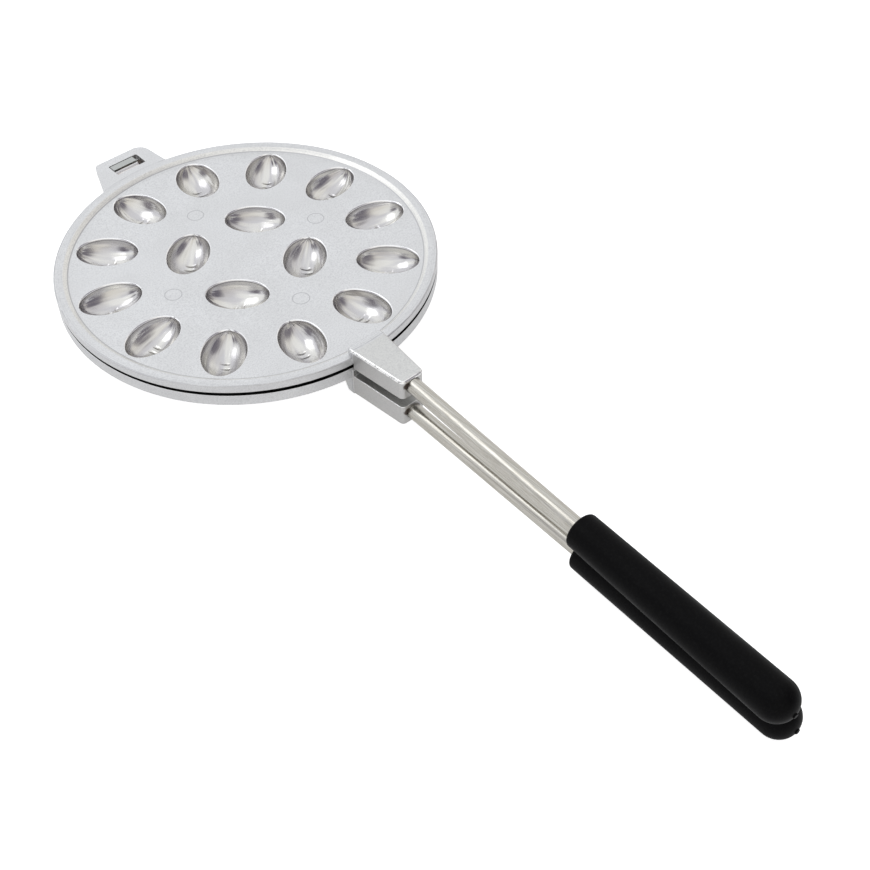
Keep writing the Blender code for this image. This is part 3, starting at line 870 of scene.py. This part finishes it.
@dataclass(frozen=True)
class CellSkin:
    """The smoother, glossier skin of the walnut forms, with ridges from tip to tip, a pinched middle, and
    painted shade and a painted highlight at the lips of the hollows.
    """

    name: str
    wrinkled: bool = False
    colour: Triple = (0.72, 0.71, 0.68)
    shade: Triple = (0.56, 0.55, 0.56)
    lip_highlight: Triple = (0.97, 0.97, 0.98)
    lip_shade: Triple = (0.30, 0.29, 0.31)
    face: float = 2.8 * MM
    lumps: Triple = (1, 2, 0.5)
    lump_stretch: Triple = (140, 190, 140)
    lump: float = 0.11 * MM
    ridges: Triple = (1, 1.5, 0.5)
    ridge_turns: float = 2.6
    ridge_drift: float = 55
    ridge: float = 0.55 * MM
    tint_curve: Four = (0.38, 0.62, 0, 1)
    under_lip_curve: Four = (1.0 * MM, 1.5 * MM, 0.7, 0)
    lip_curve: Four = (0.55 * MM, 0.8 * MM, 1, 0)
    rough_curve: Four = (0.3, 0.7, 0.16, 0.28)
    pinch: float = 0.45 * MM
    pinch_apart: float = 1.7 * MM
    pinch_size: Pair = (1.1 * MM, 2.8 * MM)
    pinch_twist: float = 0.2
    pinch_drift: float = 1.6
    pinch_curve: Four = (0, 1.3, 1, 0)
    crease_stretch: Triple = (150, 230, 230)
    crease_bend: float = 1.3
    crease_scale: float = 1.6
    crease_curve: Four = (0, 0.28, 0, 1)
    crease: Pair = (0.9 * MM, 0.9)

    def around(self, nodes: Finish, cell: Socket, seed: Socket) -> Socket:
        """Coordinates that run around a cell's long axis and hardly change along it.

        Args:
            nodes: The material's nodes.
            cell: The place in the cell's own frame.
            seed: The cell's own offset.

        Returns:
            The vector.
        """
        depth = nodes.math("DIVIDE", nodes.math("SUBTRACT", nodes.part(cell, 2), self.face), CELLS.depth)
        side = nodes.math("DIVIDE", nodes.part(cell, 1), CELLS.width / 2)
        angle = nodes.math("ARCTAN2", side, nodes.times(depth, -1))
        along = nodes.times(nodes.part(cell, 0), self.ridge_drift)
        turned = nodes.add("ShaderNodeCombineXYZ", {0: nodes.times(angle, self.ridge_turns), 1: along})
        return nodes.vector("ADD", turned.outputs[0], seed)

    def pinches(self, nodes: Finish, cell: Socket, drift: Socket) -> Socket:
        """Two small dents side by side near the middle of each form.

        Args:
            nodes: The material's nodes.
            cell: The place in the cell's own frame.
            drift: A pattern that makes the dents uneven.

        Returns:
            1 in the dents and 0 outside.
        """
        long, wide = self.pinch_size
        sized = nodes.vector("MULTIPLY", cell, (1 / long, 1 / wide, 0))
        uneven = nodes.times(nodes.math("SUBTRACT", drift, 0.5), self.pinch_drift)
        found = []
        for side in (-1, 1):
            centre = (side * self.pinch_apart / long, side * self.pinch_twist, 0)
            away = nodes.away(sized, centre, (1, 1, 0))
            found.append(nodes.curve(nodes.math("ADD", away, uneven), *self.pinch_curve))
        return nodes.math("MAXIMUM", *found)

    def creases(self, nodes: Finish, cell: Socket) -> Socket:
        """The wandering creases of a walnut shell.

        Args:
            nodes: The material's nodes.
            cell: The place in the cell's own frame.

        Returns:
            The height, low in the creases.
        """
        here = nodes.vector("MULTIPLY", cell, self.crease_stretch)
        bend = nodes.add("ShaderNodeTexNoise", {"Vector": here, "Scale": self.crease_bend}).outputs["Color"]
        inputs = {"Vector": nodes.vector("ADD", here, bend), "Scale": self.crease_scale}
        shell = nodes.add("ShaderNodeTexVoronoi", inputs, feature="DISTANCE_TO_EDGE")
        return nodes.curve(shell.outputs["Distance"], *self.crease_curve)

    def make(self) -> bpy.types.Material:
        """Builds the material, read from each cell's own coordinates.

        Returns:
            The material.
        """
        nodes = Finish(self.name)
        cell, seed = (nodes.stored(name) for name in ("cell", "seed"))
        stretched = nodes.vector("MULTIPLY", cell, self.lump_stretch)
        lumps = nodes.noise(nodes.vector("ADD", stretched, seed), *self.lumps)
        ridges = nodes.noise(self.around(nodes, cell, seed), *self.ridges)
        base = nodes.mix(nodes.curve(ridges, *self.tint_curve), self.shade, self.colour)
        below = nodes.away(cell, (0, 0, self.face), (0, 0, 1))
        # Painted shade in a band just under each hollow's lip, and a painted near-white highlight along the
        # lip.
        base = nodes.mix(nodes.curve(below, *self.under_lip_curve), base, self.lip_shade)
        base = nodes.mix(nodes.curve(below, *self.lip_curve), base, self.lip_highlight)
        normal = nodes.bump(lumps, self.lump)
        if self.wrinkled:
            normal = nodes.bump(self.creases(nodes, cell), *self.crease, normal)
        else:
            normal = nodes.bump(nodes.times(self.pinches(nodes, cell, lumps), -1), self.pinch, 1, normal)
        return nodes.done({
            "Base Color": base,
            "Metallic": 1,
            "Roughness": nodes.curve(lumps, *self.rough_curve),
            "Normal": nodes.bump(ridges, self.ridge, 1, normal),
        })


@dataclass(frozen=True)
class Patterned:
    """A finish of two colours, a roughness and a relief, each from its own pattern and stretch.

    Patterns and curves are given as for the cast aluminium.
    """

    name: str
    colour: Triple
    second: Triple
    tint: Triple
    tint_curve: Four
    rough: Triple
    rough_curve: Four
    texture: Triple
    relief: Pair
    tint_stretch: Triple = (1, 1, 1)
    rough_stretch: Triple = (1, 1, 1)
    metallic: float = 1
    sheen: float = 0.5

    def make(self) -> bpy.types.Material:
        """Builds the material.

        Returns:
            The material.
        """
        nodes = Finish(self.name)
        here = nodes.mapped(self.tint_stretch)
        tint = nodes.curve(nodes.noise(here, *self.tint), *self.tint_curve)
        rough = nodes.noise(nodes.mapped(self.rough_stretch), *self.rough)
        return nodes.done({
            "Base Color": nodes.mix(tint, self.colour, self.second),
            "Metallic": self.metallic,
            "Roughness": nodes.curve(rough, *self.rough_curve),
            "Specular IOR Level": self.sheen,
            "Normal": nodes.bump(nodes.noise(here, *self.texture), *self.relief),
        })


def highlit_edge(name: str) -> Patterned:
    """The edges of the handle sockets, painted brighter as a highlight, broken by small dark nicks of wear.
    """
    return Patterned(
        name, colour=(0.97, 0.97, 0.96), second=(0.45, 0.45, 0.44), tint=(620, 3, 0.7),
        tint_curve=(0.33, 0.48, 1, 0), rough=(620, 3, 0.7), rough_curve=(0.3, 0.7, 0.34, 0.24),
        texture=(620, 3, 0.7), relief=(0.06 * MM, 0.8),
    )


def plated_steel(name: str) -> Patterned:
    """Drawn and plated steel, streaked along its length."""
    return Patterned(
        name, colour=(0.56, 0.545, 0.505), second=(0.39, 0.37, 0.325), tint=(1, 4, 0.7),
        tint_curve=(0.35, 0.68, 0, 1), tint_stretch=(2200, 26, 2200), rough=(1, 3, 0.6),
        rough_curve=(0.3, 0.7, 0.17, 0.31), rough_stretch=(260, 60, 260), texture=(1, 4, 0.7),
        relief=(0.02 * MM, 0.4),
    )


def black_plastic(name: str) -> Patterned:
    """Matt black moulded plastic with a very fine texture."""
    return Patterned(
        name, colour=(0.0028, 0.0027, 0.003), second=(0.006, 0.006, 0.0062), tint=(900, 4, 0.7),
        tint_curve=(0.45, 0.75, 0, 1), rough=(1, 3, 0.6), rough_curve=(0.3, 0.7, 0.41, 0.54),
        rough_stretch=(90, 25, 90), texture=(1800, 3, 0.6), relief=(0.03 * MM, 0.5), metallic=0, sheen=0.05,
    )


# The castings


@dataclass
class Casting:
    """What both mold halves share: the round plate with its rim, the narrowing socket and the holes in it."""

    half: Half
    radius: float = 95.0 * MM
    rim_width: float = 4.6 * MM
    slope: float = 2.4 * MM
    socket_back: float = -90.6 * MM
    socket_widths: Pair = (20.2 * MM, 13.0 * MM)
    bore_radius: float = 4.05 * MM
    bore_ends: Pair = (-30 * MM, 2 * MM)
    bore_steps: int = 48
    steps: int = 256

    @property
    def rim_inside(self) -> float:
        """The radius where the rim's flat ring ends."""
        return self.radius - self.rim_width

    @property
    def inside(self) -> float:
        """The radius of the face inside the rim's slope."""
        return self.radius - self.rim_width - self.slope

    def at_wall(self, a: Vector, b: Vector) -> bool:
        """Tells whether an edge runs round the plate's outer wall."""
        return a.xy.length > self.radius - HAIR and level(a, b)

    def ring(self, low: float, high: float, side: int, sink: float) -> Piece:
        """Shapes the plate and its rim, and leaves it in edit mode.

        Args:
            low: The height of its lower face.
            high: The height of its upper face.
            side: 1 for a rim on the upper face and -1 for one on the lower face.
            sink: How far the face inside the rim moves along Z.

        Returns:
            The plate.
        """
        plate = add_disc(f"{self.half.word}_casting_finish", self.radius, low, high, self.steps)
        open_edit(plate)
        pick_faces(plate, lambda centre, normal: normal.z * side > FACING)
        bpy.ops.mesh.inset(thickness=self.rim_width)
        bpy.ops.mesh.inset(thickness=self.slope)
        bpy.ops.transform.translate(value=(0, 0, sink))
        return plate

    def block(self, low: float, high: float) -> Piece:
        """Shapes the socket's block, narrower at the front, and leaves it in edit mode.

        Args:
            low: The height of its lower face.
            high: The height of its upper face.

        Returns:
            The block.
        """
        back, front = self.socket_widths
        name = f"{self.half.word}_socket"
        block = add_block(name, (-back / 2, SOCKET_FRONT, low), (back / 2, self.socket_back, high))
        open_edit(block)
        pick_faces(block, lambda centre, normal: normal.y < -FACING)
        bpy.ops.transform.resize(value=(front / back, 1, 1), center_override=(0, SOCKET_FRONT, 0))
        return block

    def build(self) -> Piece:
        """Joins the plate, hinge part and socket, and cuts the walnut forms and the holes.

        Returns:
            The finished casting in the model's own frame.
        """
        casting = self.plate()
        carve(casting, self.hinge_part(), Cut.ADD)
        carve(casting, self.socket(), Cut.ADD)
        for tool, how in self.cell_tools():
            carve_each(casting, tool, CELLS.places(), how)
        bore = add_disc("bore", self.bore_radius, *self.bore_ends, self.bore_steps)
        bore.data.transform(handle_place(self.half))
        carve(casting, bore, Cut.REMOVE)
        carve(casting, PIN.tool(self.half), Cut.REMOVE)
        smooth(casting)
        mark_cells(casting, lambda at, normal: at.xy.length < self.inside and self.in_cell(at, normal))
        mark_edges(casting)
        return casting


@dataclass
class UpperCasting(Casting):
    """The upper mold half: recessed face, hollowed walnut forms, ear and handle socket."""

    half: Half = Half.UPPER
    parting: float = 0.3 * MM
    face: float = 2.8 * MM
    rim: float = 4.6 * MM
    foot_rounding: Rounding = (0.4 * MM, 4)
    wall_rounding: Rounding = (0.7 * MM, 4)
    lip: float = 0.9 * MM
    lip_steps: int = 6
    recess_segments: int = 64
    recess_rings: int = 36
    recess_reach: float = 6 * MM
    ear_end: float = 114.2 * MM
    ear_ends: Pair = (13.9 * MM, 15.7 * MM)
    ear_roots: Pair = (22.9 * MM, 18.0 * MM)
    ear_corners: Pair = (2.0 * MM, 6.0 * MM)
    ear_segments: int = 8
    ear_rounding: Rounding = (0.4 * MM, 3)
    window: Triple = (99.2 * MM, 108.4 * MM, 17.4 * MM)
    window_tool: Pair = (-5 * MM, 10 * MM)
    window_rounding: Rounding = (0.5 * MM, 3)
    socket_height: float = 10.2 * MM
    socket_deeper: float = 1.1 * MM
    socket_corner: Rounding = (2.4 * MM, 6)
    socket_rounding: Rounding = (1.25 * MM, 5)
    rim_room: Pair = (0.6 * MM, 1.25 * MM)
    room_steps: int = 128

    def plate(self) -> Piece:
        """Shapes the round plate, its raised rim and its recessed face.

        Returns:
            The plate.
        """
        plate = self.ring(self.parting, self.rim, 1, self.face - self.rim)
        pick_edges(plate, lambda a, b: a.z > self.face - MM / 10 and level(a, b)
                   and self.inside - MM < a.xy.length < self.radius - MM
                   and abs(a.xy.length - b.xy.length) < MM / 10)
        bevel(*self.foot_rounding)
        pick_edges(plate, self.at_wall)
        bevel(*self.wall_rounding)
        close_edit()
        return plate

    def recess(self) -> Piece:
        """Shapes the tool that cuts one hollow with its rounded lip.

        Returns:
            The tool, its mouth at the recessed face's height.
        """
        half_length = CELLS.length / 2 - self.lip / 2
        half_width = CELLS.width / 2 - self.lip / 2
        sizes = (half_length, half_width, CELLS.depth)
        tool = add_ball("recess", sizes, 0, self.recess_segments, self.recess_rings)
        open_edit(tool, "EDGE")
        cut_above(-self.lip, fill=False)
        pick_edges(tool, lambda a, b: min(a.z, b.z) > -self.lip - HAIR)
        reach, height = 0.0, -self.lip
        for step in range(1, self.lip_steps + 1):
            angle = step / self.lip_steps * QUARTER_TURN
            out = self.lip * (1 - math.cos(angle))
            up = -self.lip + (self.lip + SLIVER) * math.sin(angle)
            bpy.ops.mesh.extrude_edges_move(TRANSFORM_OT_translate={"value": (0, 0, up - height)})
            grow = ((half_length + out) / (half_length + reach), (half_width + out) / (half_width + reach), 1)
            bpy.ops.transform.resize(value=grow, center_override=(0, 0, up))
            reach, height = out, up
        bpy.ops.mesh.extrude_edges_move(TRANSFORM_OT_translate={"value": (0, 0, self.recess_reach)})
        bpy.ops.mesh.edge_face_add()
        close_outward()
        tool.data.transform(Matrix.Translation((0, 0, self.face)))
        return tool

    def hinge_part(self) -> Piece:
        """Shapes the ear with its unlike corners and the window for the hook.

        Returns:
            The ear.
        """
        start, x = self.rim_inside, LEAN.hook_x
        left, right = self.ear_ends
        ear = add_block("ear", (x - left, start, self.parting), (x + right, self.ear_end, self.rim))
        open_edit(ear, "EDGE")
        for side, end, root in zip((-1, 1), self.ear_ends, self.ear_roots):
            pick_edges(ear, lambda a, b: max(a.y, b.y) < start + MM
                       and min((a.x - x) * side, (b.x - x) * side) > 0)
            bpy.ops.transform.translate(value=(side * (root - end), 0, 0))
        for side, corner in zip((-1, 1), self.ear_corners):
            pick_edges(ear, lambda a, b: min(a.y, b.y) > self.ear_end - MM and upright(a, b)
                       and (a.x - x) * side > 0)
            bevel(corner, self.ear_segments)
        close_edit()
        near, far, width = self.window
        low, high = self.window_tool
        hole = add_block("window", (x - width / 2, near, low), (x + width / 2, far, high))
        open_edit(hole, "EDGE")
        pick_edges(hole, upright)
        bevel(*self.window_rounding)
        close_edit()
        carve(ear, hole, Cut.REMOVE)
        soften(ear, *self.ear_rounding)
        return ear

    def socket(self) -> Piece:
        """Shapes the block that holds the upper tube.

        Returns:
            The block.
        """
        middle = TUBE_HEIGHTS[self.half]
        low = middle - self.socket_height / 2 - self.socket_deeper
        block = self.block(low, middle + self.socket_height / 2)
        pick_edges(block, upright)
        bevel(*self.socket_corner)
        close_edit()
        soften(block, *self.socket_rounding)
        wider, higher = self.rim_room
        room = add_disc("rim_room", self.radius + wider, low - MM, self.parting + higher, self.room_steps)
        carve(block, room, Cut.REMOVE)
        return block

    def cell_tools(self) -> list[tuple[Piece, Cut]]:
        """The bump below each walnut form, which is added, and its hollow, which is cut."""
        middle = (self.parting + self.face) / 2
        depth = middle - (self.face - CELLS.depth - CELLS.wall)
        bump = CELLS.ball("bump", CELLS.wall, depth, middle, whole=False)
        return [(bump, Cut.ADD), (self.recess(), Cut.REMOVE)]

    def in_cell(self, centre: Vector, normal: Vector) -> bool:
        """Tells whether a face belongs to a hollow or to a bump."""
        hollow = normal.z > RISING and centre.z < self.face - MM / 20
        return hollow or centre.z < self.parting - SLIVER


@dataclass
class LowerCasting(Casting):
    """The lower mold half: cavities, outer bulges, hook and the handle socket below the rim."""

    half: Half = Half.LOWER
    web: float = 3.0 * MM
    rim: float = 6.2 * MM
    foot_rounding: Rounding = (0.8 * MM, 4)
    wall_rounding: Rounding = (0.25 * MM, 2)
    hook_width: float = 14.2 * MM
    hook_shift: float = -1.2 * MM
    root_end: float = 102.2 * MM
    tongue: Triple = (103.9 * MM, 108.05 * MM, 4.35 * MM)
    ramp_length: float = 3.4 * MM
    ramp_top: float = 3.2 * MM
    ramp_move: Triple = (0, 0.6 * MM, -0.7 * MM)
    shoulder: Triple = (2.4 * MM, 2.5 * MM, 0.9 * MM)
    groove: Pair = (0.9 * MM, 0.9 * MM)
    groove_reach: float = 9 * MM
    nose_steps: int = 48
    shoulder_steps: int = 32
    socket_height: float = 10.9 * MM
    socket_corner: Rounding = (2.0 * MM, 5)
    neck: float = 8.0 * MM
    socket_rounding: Softening = (0.9 * MM, 4, 50)
    hook_rounding: Softening = (0.3 * MM, 2, 50)

    def plate(self) -> Piece:
        """Shapes the round plate with its rim standing down.

        Returns:
            The plate.
        """
        plate = self.ring(-self.rim, 0, -1, self.rim - self.web)
        pick_edges(plate, lambda a, b: self.at_wall(a, b) and a.z < -MM)
        bevel(*self.foot_rounding)
        pick_edges(plate, lambda a, b: self.at_wall(a, b) and a.z > -MM)
        bevel(*self.wall_rounding)
        close_edit()
        return plate

    def hinge_part(self) -> Piece:
        """Shapes the hook: a root below the ear, a ramp, a flat tongue and a round nose on the hinge axis.

        Returns:
            The hook.
        """
        x = LEAN.hook_x + self.hook_shift
        left, right = x - self.hook_width / 2, x + self.hook_width / 2
        hook = add_block("hook", (left, self.rim_inside, -self.rim), (right, self.root_end, 0))
        near, far, top = self.tongue
        ramp = add_block("ramp", (left, near - self.ramp_length, -MM), (right, near + MM, self.ramp_top))
        open_edit(ramp, "EDGE")
        pick_edges(ramp, lambda a, b: min(a.z, b.z) > self.ramp_top - MM and max(a.y, b.y) < near)
        bpy.ops.transform.translate(value=self.ramp_move)
        close_edit()
        tongue = add_block("tongue", (left, near, 0), (right, far, top))
        nose = add_disc("nose", HINGE.nose, left, right, self.nose_steps)
        nose.data.transform(across(HINGE.axis))
        radius, reach, drop = self.shoulder
        shoulder = add_disc("shoulder", radius, 0, self.hook_width / 2 + reach, self.shoulder_steps)
        shoulder.data.transform(across(HINGE.axis + Vector((x, 0, -drop))))
        for part in (nose, tongue, ramp, shoulder):
            carve(hook, part, Cut.ADD)
        width, bottom = self.groove
        groove_end = (right + MM, near - SLIVER, self.groove_reach)
        carve(hook, add_block("groove", (left - MM, near - width, bottom), groove_end), Cut.REMOVE)
        soften(hook, *self.hook_rounding)
        return hook

    def socket(self) -> Piece:
        """Shapes the block that hangs below the rim, with the neck that joins it to the plate.

        Returns:
            The block.
        """
        middle = TUBE_HEIGHTS[self.half]
        low = middle - self.socket_height / 2
        block = self.block(low, middle + self.socket_height / 2)
        pick_edges(block, lambda a, b: upright(a, b) and a.y < SOCKET_FRONT + MM)
        bevel(*self.socket_corner)
        close_edit()
        side = self.socket_widths[0] / 2
        neck_end = (side, self.socket_back + self.neck, -self.web / 2)
        neck = add_block("neck", (-side, -self.radius, low), neck_end)
        open_edit(neck, "EDGE")
        pick_edges(neck, lambda a, b: max(a.z, b.z) < low + MM and min(a.y, b.y) > self.socket_back)
        bpy.ops.transform.translate(value=(0, -self.neck, 0))
        close_edit()
        carve(block, neck, Cut.ADD)
        soften(block, *self.socket_rounding)
        return block

    def cell_tools(self) -> list[tuple[Piece, Cut]]:
        """The bulge round each walnut form, which is added, and its cavity, which is cut."""
        middle = -self.web / 2
        grow = CELLS.wall + CELLS.dough
        depth = CELLS.cavity_depth + CELLS.wall + middle
        bulge = CELLS.ball("bulge", grow + CELLS.wall, depth, middle, whole=False)
        return [(bulge, Cut.ADD), (CELLS.ball("cavity", grow, CELLS.cavity_depth, 0), Cut.REMOVE)]

    def in_cell(self, centre: Vector, normal: Vector) -> bool:
        """Tells whether a face belongs to a cavity."""
        return centre.z < -SLIVER and normal.z > RISING


# The handles


@dataclass
class Handle:
    """One handle: a steel tube, its black grip and the pin that holds it in its socket."""

    half: Half
    tube_radius: float = 3.88 * MM
    tube_wall: float = 1.0 * MM
    tube_in_socket: float = 29.7 * MM
    tube_short: float = 12.3 * MM
    tube_rounding: Rounding = (0.15 * MM, 2)
    core_start: float = -40 * MM
    core_past: float = 10 * MM
    grip_start: float = 107.6 * MM
    grip_length: float = 112.0 * MM
    grip_play: float = 0.3 * MM
    bore_short: float = 3 * MM
    grip_angle: float = math.radians(40)
    start_radius: float = 8.2 * MM
    end_radius: float = 9.1 * MM
    mouth_rounding: Rounding = (1.5 * MM, 6)
    tip_rows: int = 15
    nub_radius: float = 1.2 * MM
    nub_rise: float = 0.5 * MM
    nub_steps: int = 32
    nub_segments: int = 3
    steps: int = 64

    @property
    def tip(self) -> float:
        """Where the grip ends, from the socket's mouth."""
        return self.grip_start + self.grip_length

    def tube(self) -> Piece:
        """Shapes the tube: an open-ended round wall, with the cross pin's hole through it.

        Returns:
            The tube.
        """
        low, high = -self.tube_in_socket, self.tip - self.tube_short
        tube = add_disc(f"{self.half.word}_tube_finish", self.tube_radius, low, high, self.steps)
        bore = self.tube_radius - self.tube_wall
        core = add_disc("core", bore, self.core_start, high + self.core_past, self.steps)
        carve(tube, core, Cut.REMOVE)
        soften(tube, *self.tube_rounding)
        hole = add_disc("pin_hole", PIN.hole_radius, -PIN.tube_drill, PIN.tube_drill, PIN.steps)
        hole.data.transform(handle_place(self.half).inverted() @ PIN.place(self.half))
        carve(tube, hole, Cut.REMOVE)
        smooth(tube)
        return tube

    def grip(self) -> Piece:
        """Shapes the grip: a rolled mouth, a slight taper, a round tip and its small nub.

        Returns:
            The grip.
        """
        fat = self.tip - self.end_radius
        grip = add_disc(f"{self.half.word}_grip_finish", self.start_radius, self.grip_start, fat, self.steps)
        open_edit(grip)
        pick_faces(grip, lambda centre, normal: normal.z > FACING)
        ratio = self.end_radius / self.start_radius
        bpy.ops.transform.resize(value=(ratio, ratio, 1), center_override=(0, 0, fat))
        last, height = self.end_radius, 0.0
        for step in range(1, self.tip_rows):
            angle = step / self.tip_rows * QUARTER_TURN
            radius, up = self.end_radius * math.cos(angle), self.end_radius * math.sin(angle)
            bpy.ops.mesh.extrude_region_move(TRANSFORM_OT_translate={"value": (0, 0, up - height)})
            shrink = radius / last
            bpy.ops.transform.resize(value=(shrink, shrink, 1), center_override=(0, 0, fat + up))
            last, height = radius, up
        pick_edges(grip, lambda a, b: max(a.z, b.z) < self.grip_start + MM / 10)
        bevel(*self.mouth_rounding)
        close_edit()
        bore = self.tube_radius + self.grip_play
        core = add_disc("core", bore, self.grip_start - MM, fat - self.bore_short, self.steps)
        carve(grip, core, Cut.REMOVE)
        low, high = self.tip - 2 * self.nub_rise, self.tip + self.nub_rise
        nub = add_disc("nub", self.nub_radius, low, high, self.nub_steps)
        soften(nub, self.nub_rise / 2, self.nub_segments)
        carve(grip, nub, Cut.ADD)
        smooth(grip, self.grip_angle)
        return grip

    def pin(self) -> Piece:
        """Shapes the cross pin with its chamfered ends."""
        pin = add_disc(f"{self.half.word}_pin_finish", PIN.radius, PIN.left, PIN.right, PIN.steps)
        soften(pin, *PIN.chamfer)
        smooth(pin)
        return pin


def place_piece(
    piece: Piece, half: Half, carry: Matrix, finishes: tuple[bpy.types.Material, ...], node: str
) -> None:
    """Carries a finished piece to its place, dresses it and lets it ride.

    Args:
        piece: The piece in the model's own frame.
        half: The half that it moves with.
        carry: The matrix that carries it.
        finishes: Its materials, in the order of its slots.
        node: The solid that it stands for.
    """
    piece.data.transform(carry)
    slots = [face.material_index for face in piece.data.polygons]
    piece.data.materials.clear()
    for finish in finishes:
        piece.data.materials.append(finish)
    piece.data.polygons.foreach_set("material_index", slots)
    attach(piece, half.value)
    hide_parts(node)
    LOG.info("%s: %d faces, rides on %s", piece.name, len(piece.data.polygons), half.value)

# The studio


@dataclass
class Studio:
    """The white floor, the soft lamp, the sky and the camera."""

    camera_place: Triple = (-0.280157, -0.451154, 0.430047)
    camera_turn: Triple = (42.154831, 1.31683, -40.724258)
    lens: float = 55.7486
    sensor: float = 36
    shift: Pair = (0.0497339, 0.0283333)
    nearest: float = 0.01
    floor_size: float = 12
    floor_drop: float = 0.3 * MM
    floor_grey: float = 0.70
    floor_rough: float = 0.9
    floor_seen: float = 0.80
    floor_mirrored: float = 0.36
    lamp_place: Triple = (-0.60, 0.94, 1.42)
    lamp_size: float = 0.8
    lamp_radiance: float = 1.15
    bright_side: Triple = (-0.35, 0.75, 0.6)
    bright_ends: Pair = (-0.5, 0.8)
    warm: Triple = (0.86, 0.83, 0.79)
    cool: Triple = (1.06, 1.075, 1.10)
    dim: Triple = (0.24, 0.225, 0.26)
    dim_places: tuple[tuple[Triple, float, float], ...] = (
        ((0.54, -0.71, 0.35), 0.70, 0.97),
        ((-0.86, 0.12, 0.38), 0.90, 0.995),
    )
    seen: Triple = (1.0, 1.0, 1.0)

    def camera(self, origin: Vector) -> None:
        """Sets the camera where the photograph was taken from.

        Args:
            origin: Where the plate's centre is in the frame.
        """
        lens = bpy.data.cameras.new("camera")
        lens.lens = self.lens
        lens.sensor_width = self.sensor
        lens.sensor_fit = "HORIZONTAL"
        lens.shift_x, lens.shift_y = self.shift
        lens.clip_start = self.nearest
        camera = bpy.data.objects.new("camera", lens)
        bpy.context.scene.collection.objects.link(camera)
        turn = Euler([math.radians(angle) for angle in self.camera_turn]).to_matrix().to_4x4()
        camera.matrix_world = Matrix.Translation(Vector(self.camera_place) + origin) @ turn
        bpy.context.scene.camera = camera

    def floor(self) -> None:
        """Lays a large pale floor whose seen colour is white, with the object's shadow on it."""
        let_go()
        bpy.ops.mesh.primitive_plane_add(size=self.floor_size, location=(0, 0, -self.floor_drop))
        floor = named("floor")
        settle(floor)
        nodes = Finish("white_floor")
        rays = nodes.add("ShaderNodeLightPath", {}).outputs
        seen = nodes.times(rays["Is Camera Ray"], self.floor_seen)
        mirrored = nodes.times(rays["Is Glossy Ray"], self.floor_mirrored)
        floor.data.materials.append(nodes.done({
            "Base Color": (self.floor_grey, self.floor_grey, self.floor_grey, 1),
            "Roughness": self.floor_rough,
            "Specular IOR Level": 0,
            "Emission Color": (1, 1, 1, 1),
            "Emission Strength": nodes.math("ADD", seen, mirrored),
        }))

    def lamp(self) -> None:
        """Hangs the square soft lamp high at the far left, facing the frame's origin."""
        data = bpy.data.lights.new("far_softbox", "AREA")
        data.shape = "SQUARE"
        data.size = self.lamp_size
        data.energy = self.lamp_radiance * math.pi * self.lamp_size * self.lamp_size
        lamp = bpy.data.objects.new("far_softbox", data)
        bpy.context.scene.collection.objects.link(lamp)
        place = Vector(self.lamp_place)
        facing = (-place).to_track_quat("-Z", "Y").to_matrix().to_4x4()
        lamp.matrix_world = Matrix.Translation(place) @ facing

    def sky(self) -> None:
        """Fills the room with soft light: cool far off, warm behind the camera, dim low at both sides."""
        world = bpy.data.worlds.new("room")
        bpy.context.scene.world = world
        world.use_nodes = True
        world.node_tree.nodes.clear()
        nodes = Nodes(world.node_tree, "Generated")
        toward = nodes.vector("DOT_PRODUCT", nodes.coords, Vector(self.bright_side).normalized())
        colour = nodes.mix(nodes.curve(toward, *self.bright_ends, 0, 1), self.warm, self.cool)
        for axis, start, end in self.dim_places:
            toward = nodes.vector("DOT_PRODUCT", nodes.coords, Vector(axis).normalized())
            colour = nodes.mix(nodes.curve(toward, start, end, 0, 1), colour, self.dim)
        rays = nodes.add("ShaderNodeLightPath", {}).outputs
        colour = nodes.mix(rays["Is Camera Ray"], colour, self.seen)
        back = nodes.add("ShaderNodeBackground", {"Color": colour})
        nodes.add("ShaderNodeOutputWorld", {"Surface": back.outputs[0]})

    def build(self, origin: Vector) -> None:
        """Sets up the room around the object.

        Args:
            origin: Where the plate's centre is in the frame.
        """
        self.camera(origin)
        self.floor()
        self.sky()
        self.lamp()
        bpy.context.scene.view_settings.view_transform = "Standard"
        LOG.info("studio: camera, floor, sky and lamp")


def main() -> None:
    """Builds every piece in order and hands the scene over."""
    logging.basicConfig(level=logging.INFO, format="%(message)s")
    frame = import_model()
    origin = Vector(frame["joints"][0]["pos_m"]) - HINGE.axis
    steel = plated_steel("plated_steel").make()
    plastic = black_plastic("black_plastic").make()
    for casting in (LowerCasting(), UpperCasting()):
        half = casting.half
        carry = HINGE.carry(half, origin)
        beside, above = TARNISH_OFFSET
        entry = carry @ Vector((beside, SOCKET_FRONT, TUBE_HEIGHTS[half] + above))
        finish = CastAluminium(f"{half.value}_aluminium").make(origin, entry, half is Half.UPPER)
        skin = CellSkin(f"{half.value}_cells", wrinkled=half is Half.LOWER).make()
        # The socket edges' finish paints a highlight on them.
        edge_marks = highlit_edge(f"{half.value}_highlit_edge").make()
        finishes = (finish, skin, edge_marks)
        place_piece(casting.build(), half, carry, finishes, f"{half.word}_mold_casting")
    for half in (Half.LOWER, Half.UPPER):
        handle = Handle(half)
        carry = HINGE.carry(half, origin)
        along = carry @ handle_place(half)
        place_piece(handle.tube(), half, along, (steel,), f"{half.word}_handle_tube")
        place_piece(handle.grip(), half, along, (plastic,), f"{half.word}_grip")
        through = carry @ PIN.place(half)
        place_piece(handle.pin(), half, through, (steel,), f"{half.word}_tube_pin")
    Studio().build(origin)


if __name__ == "__main__":
    main()
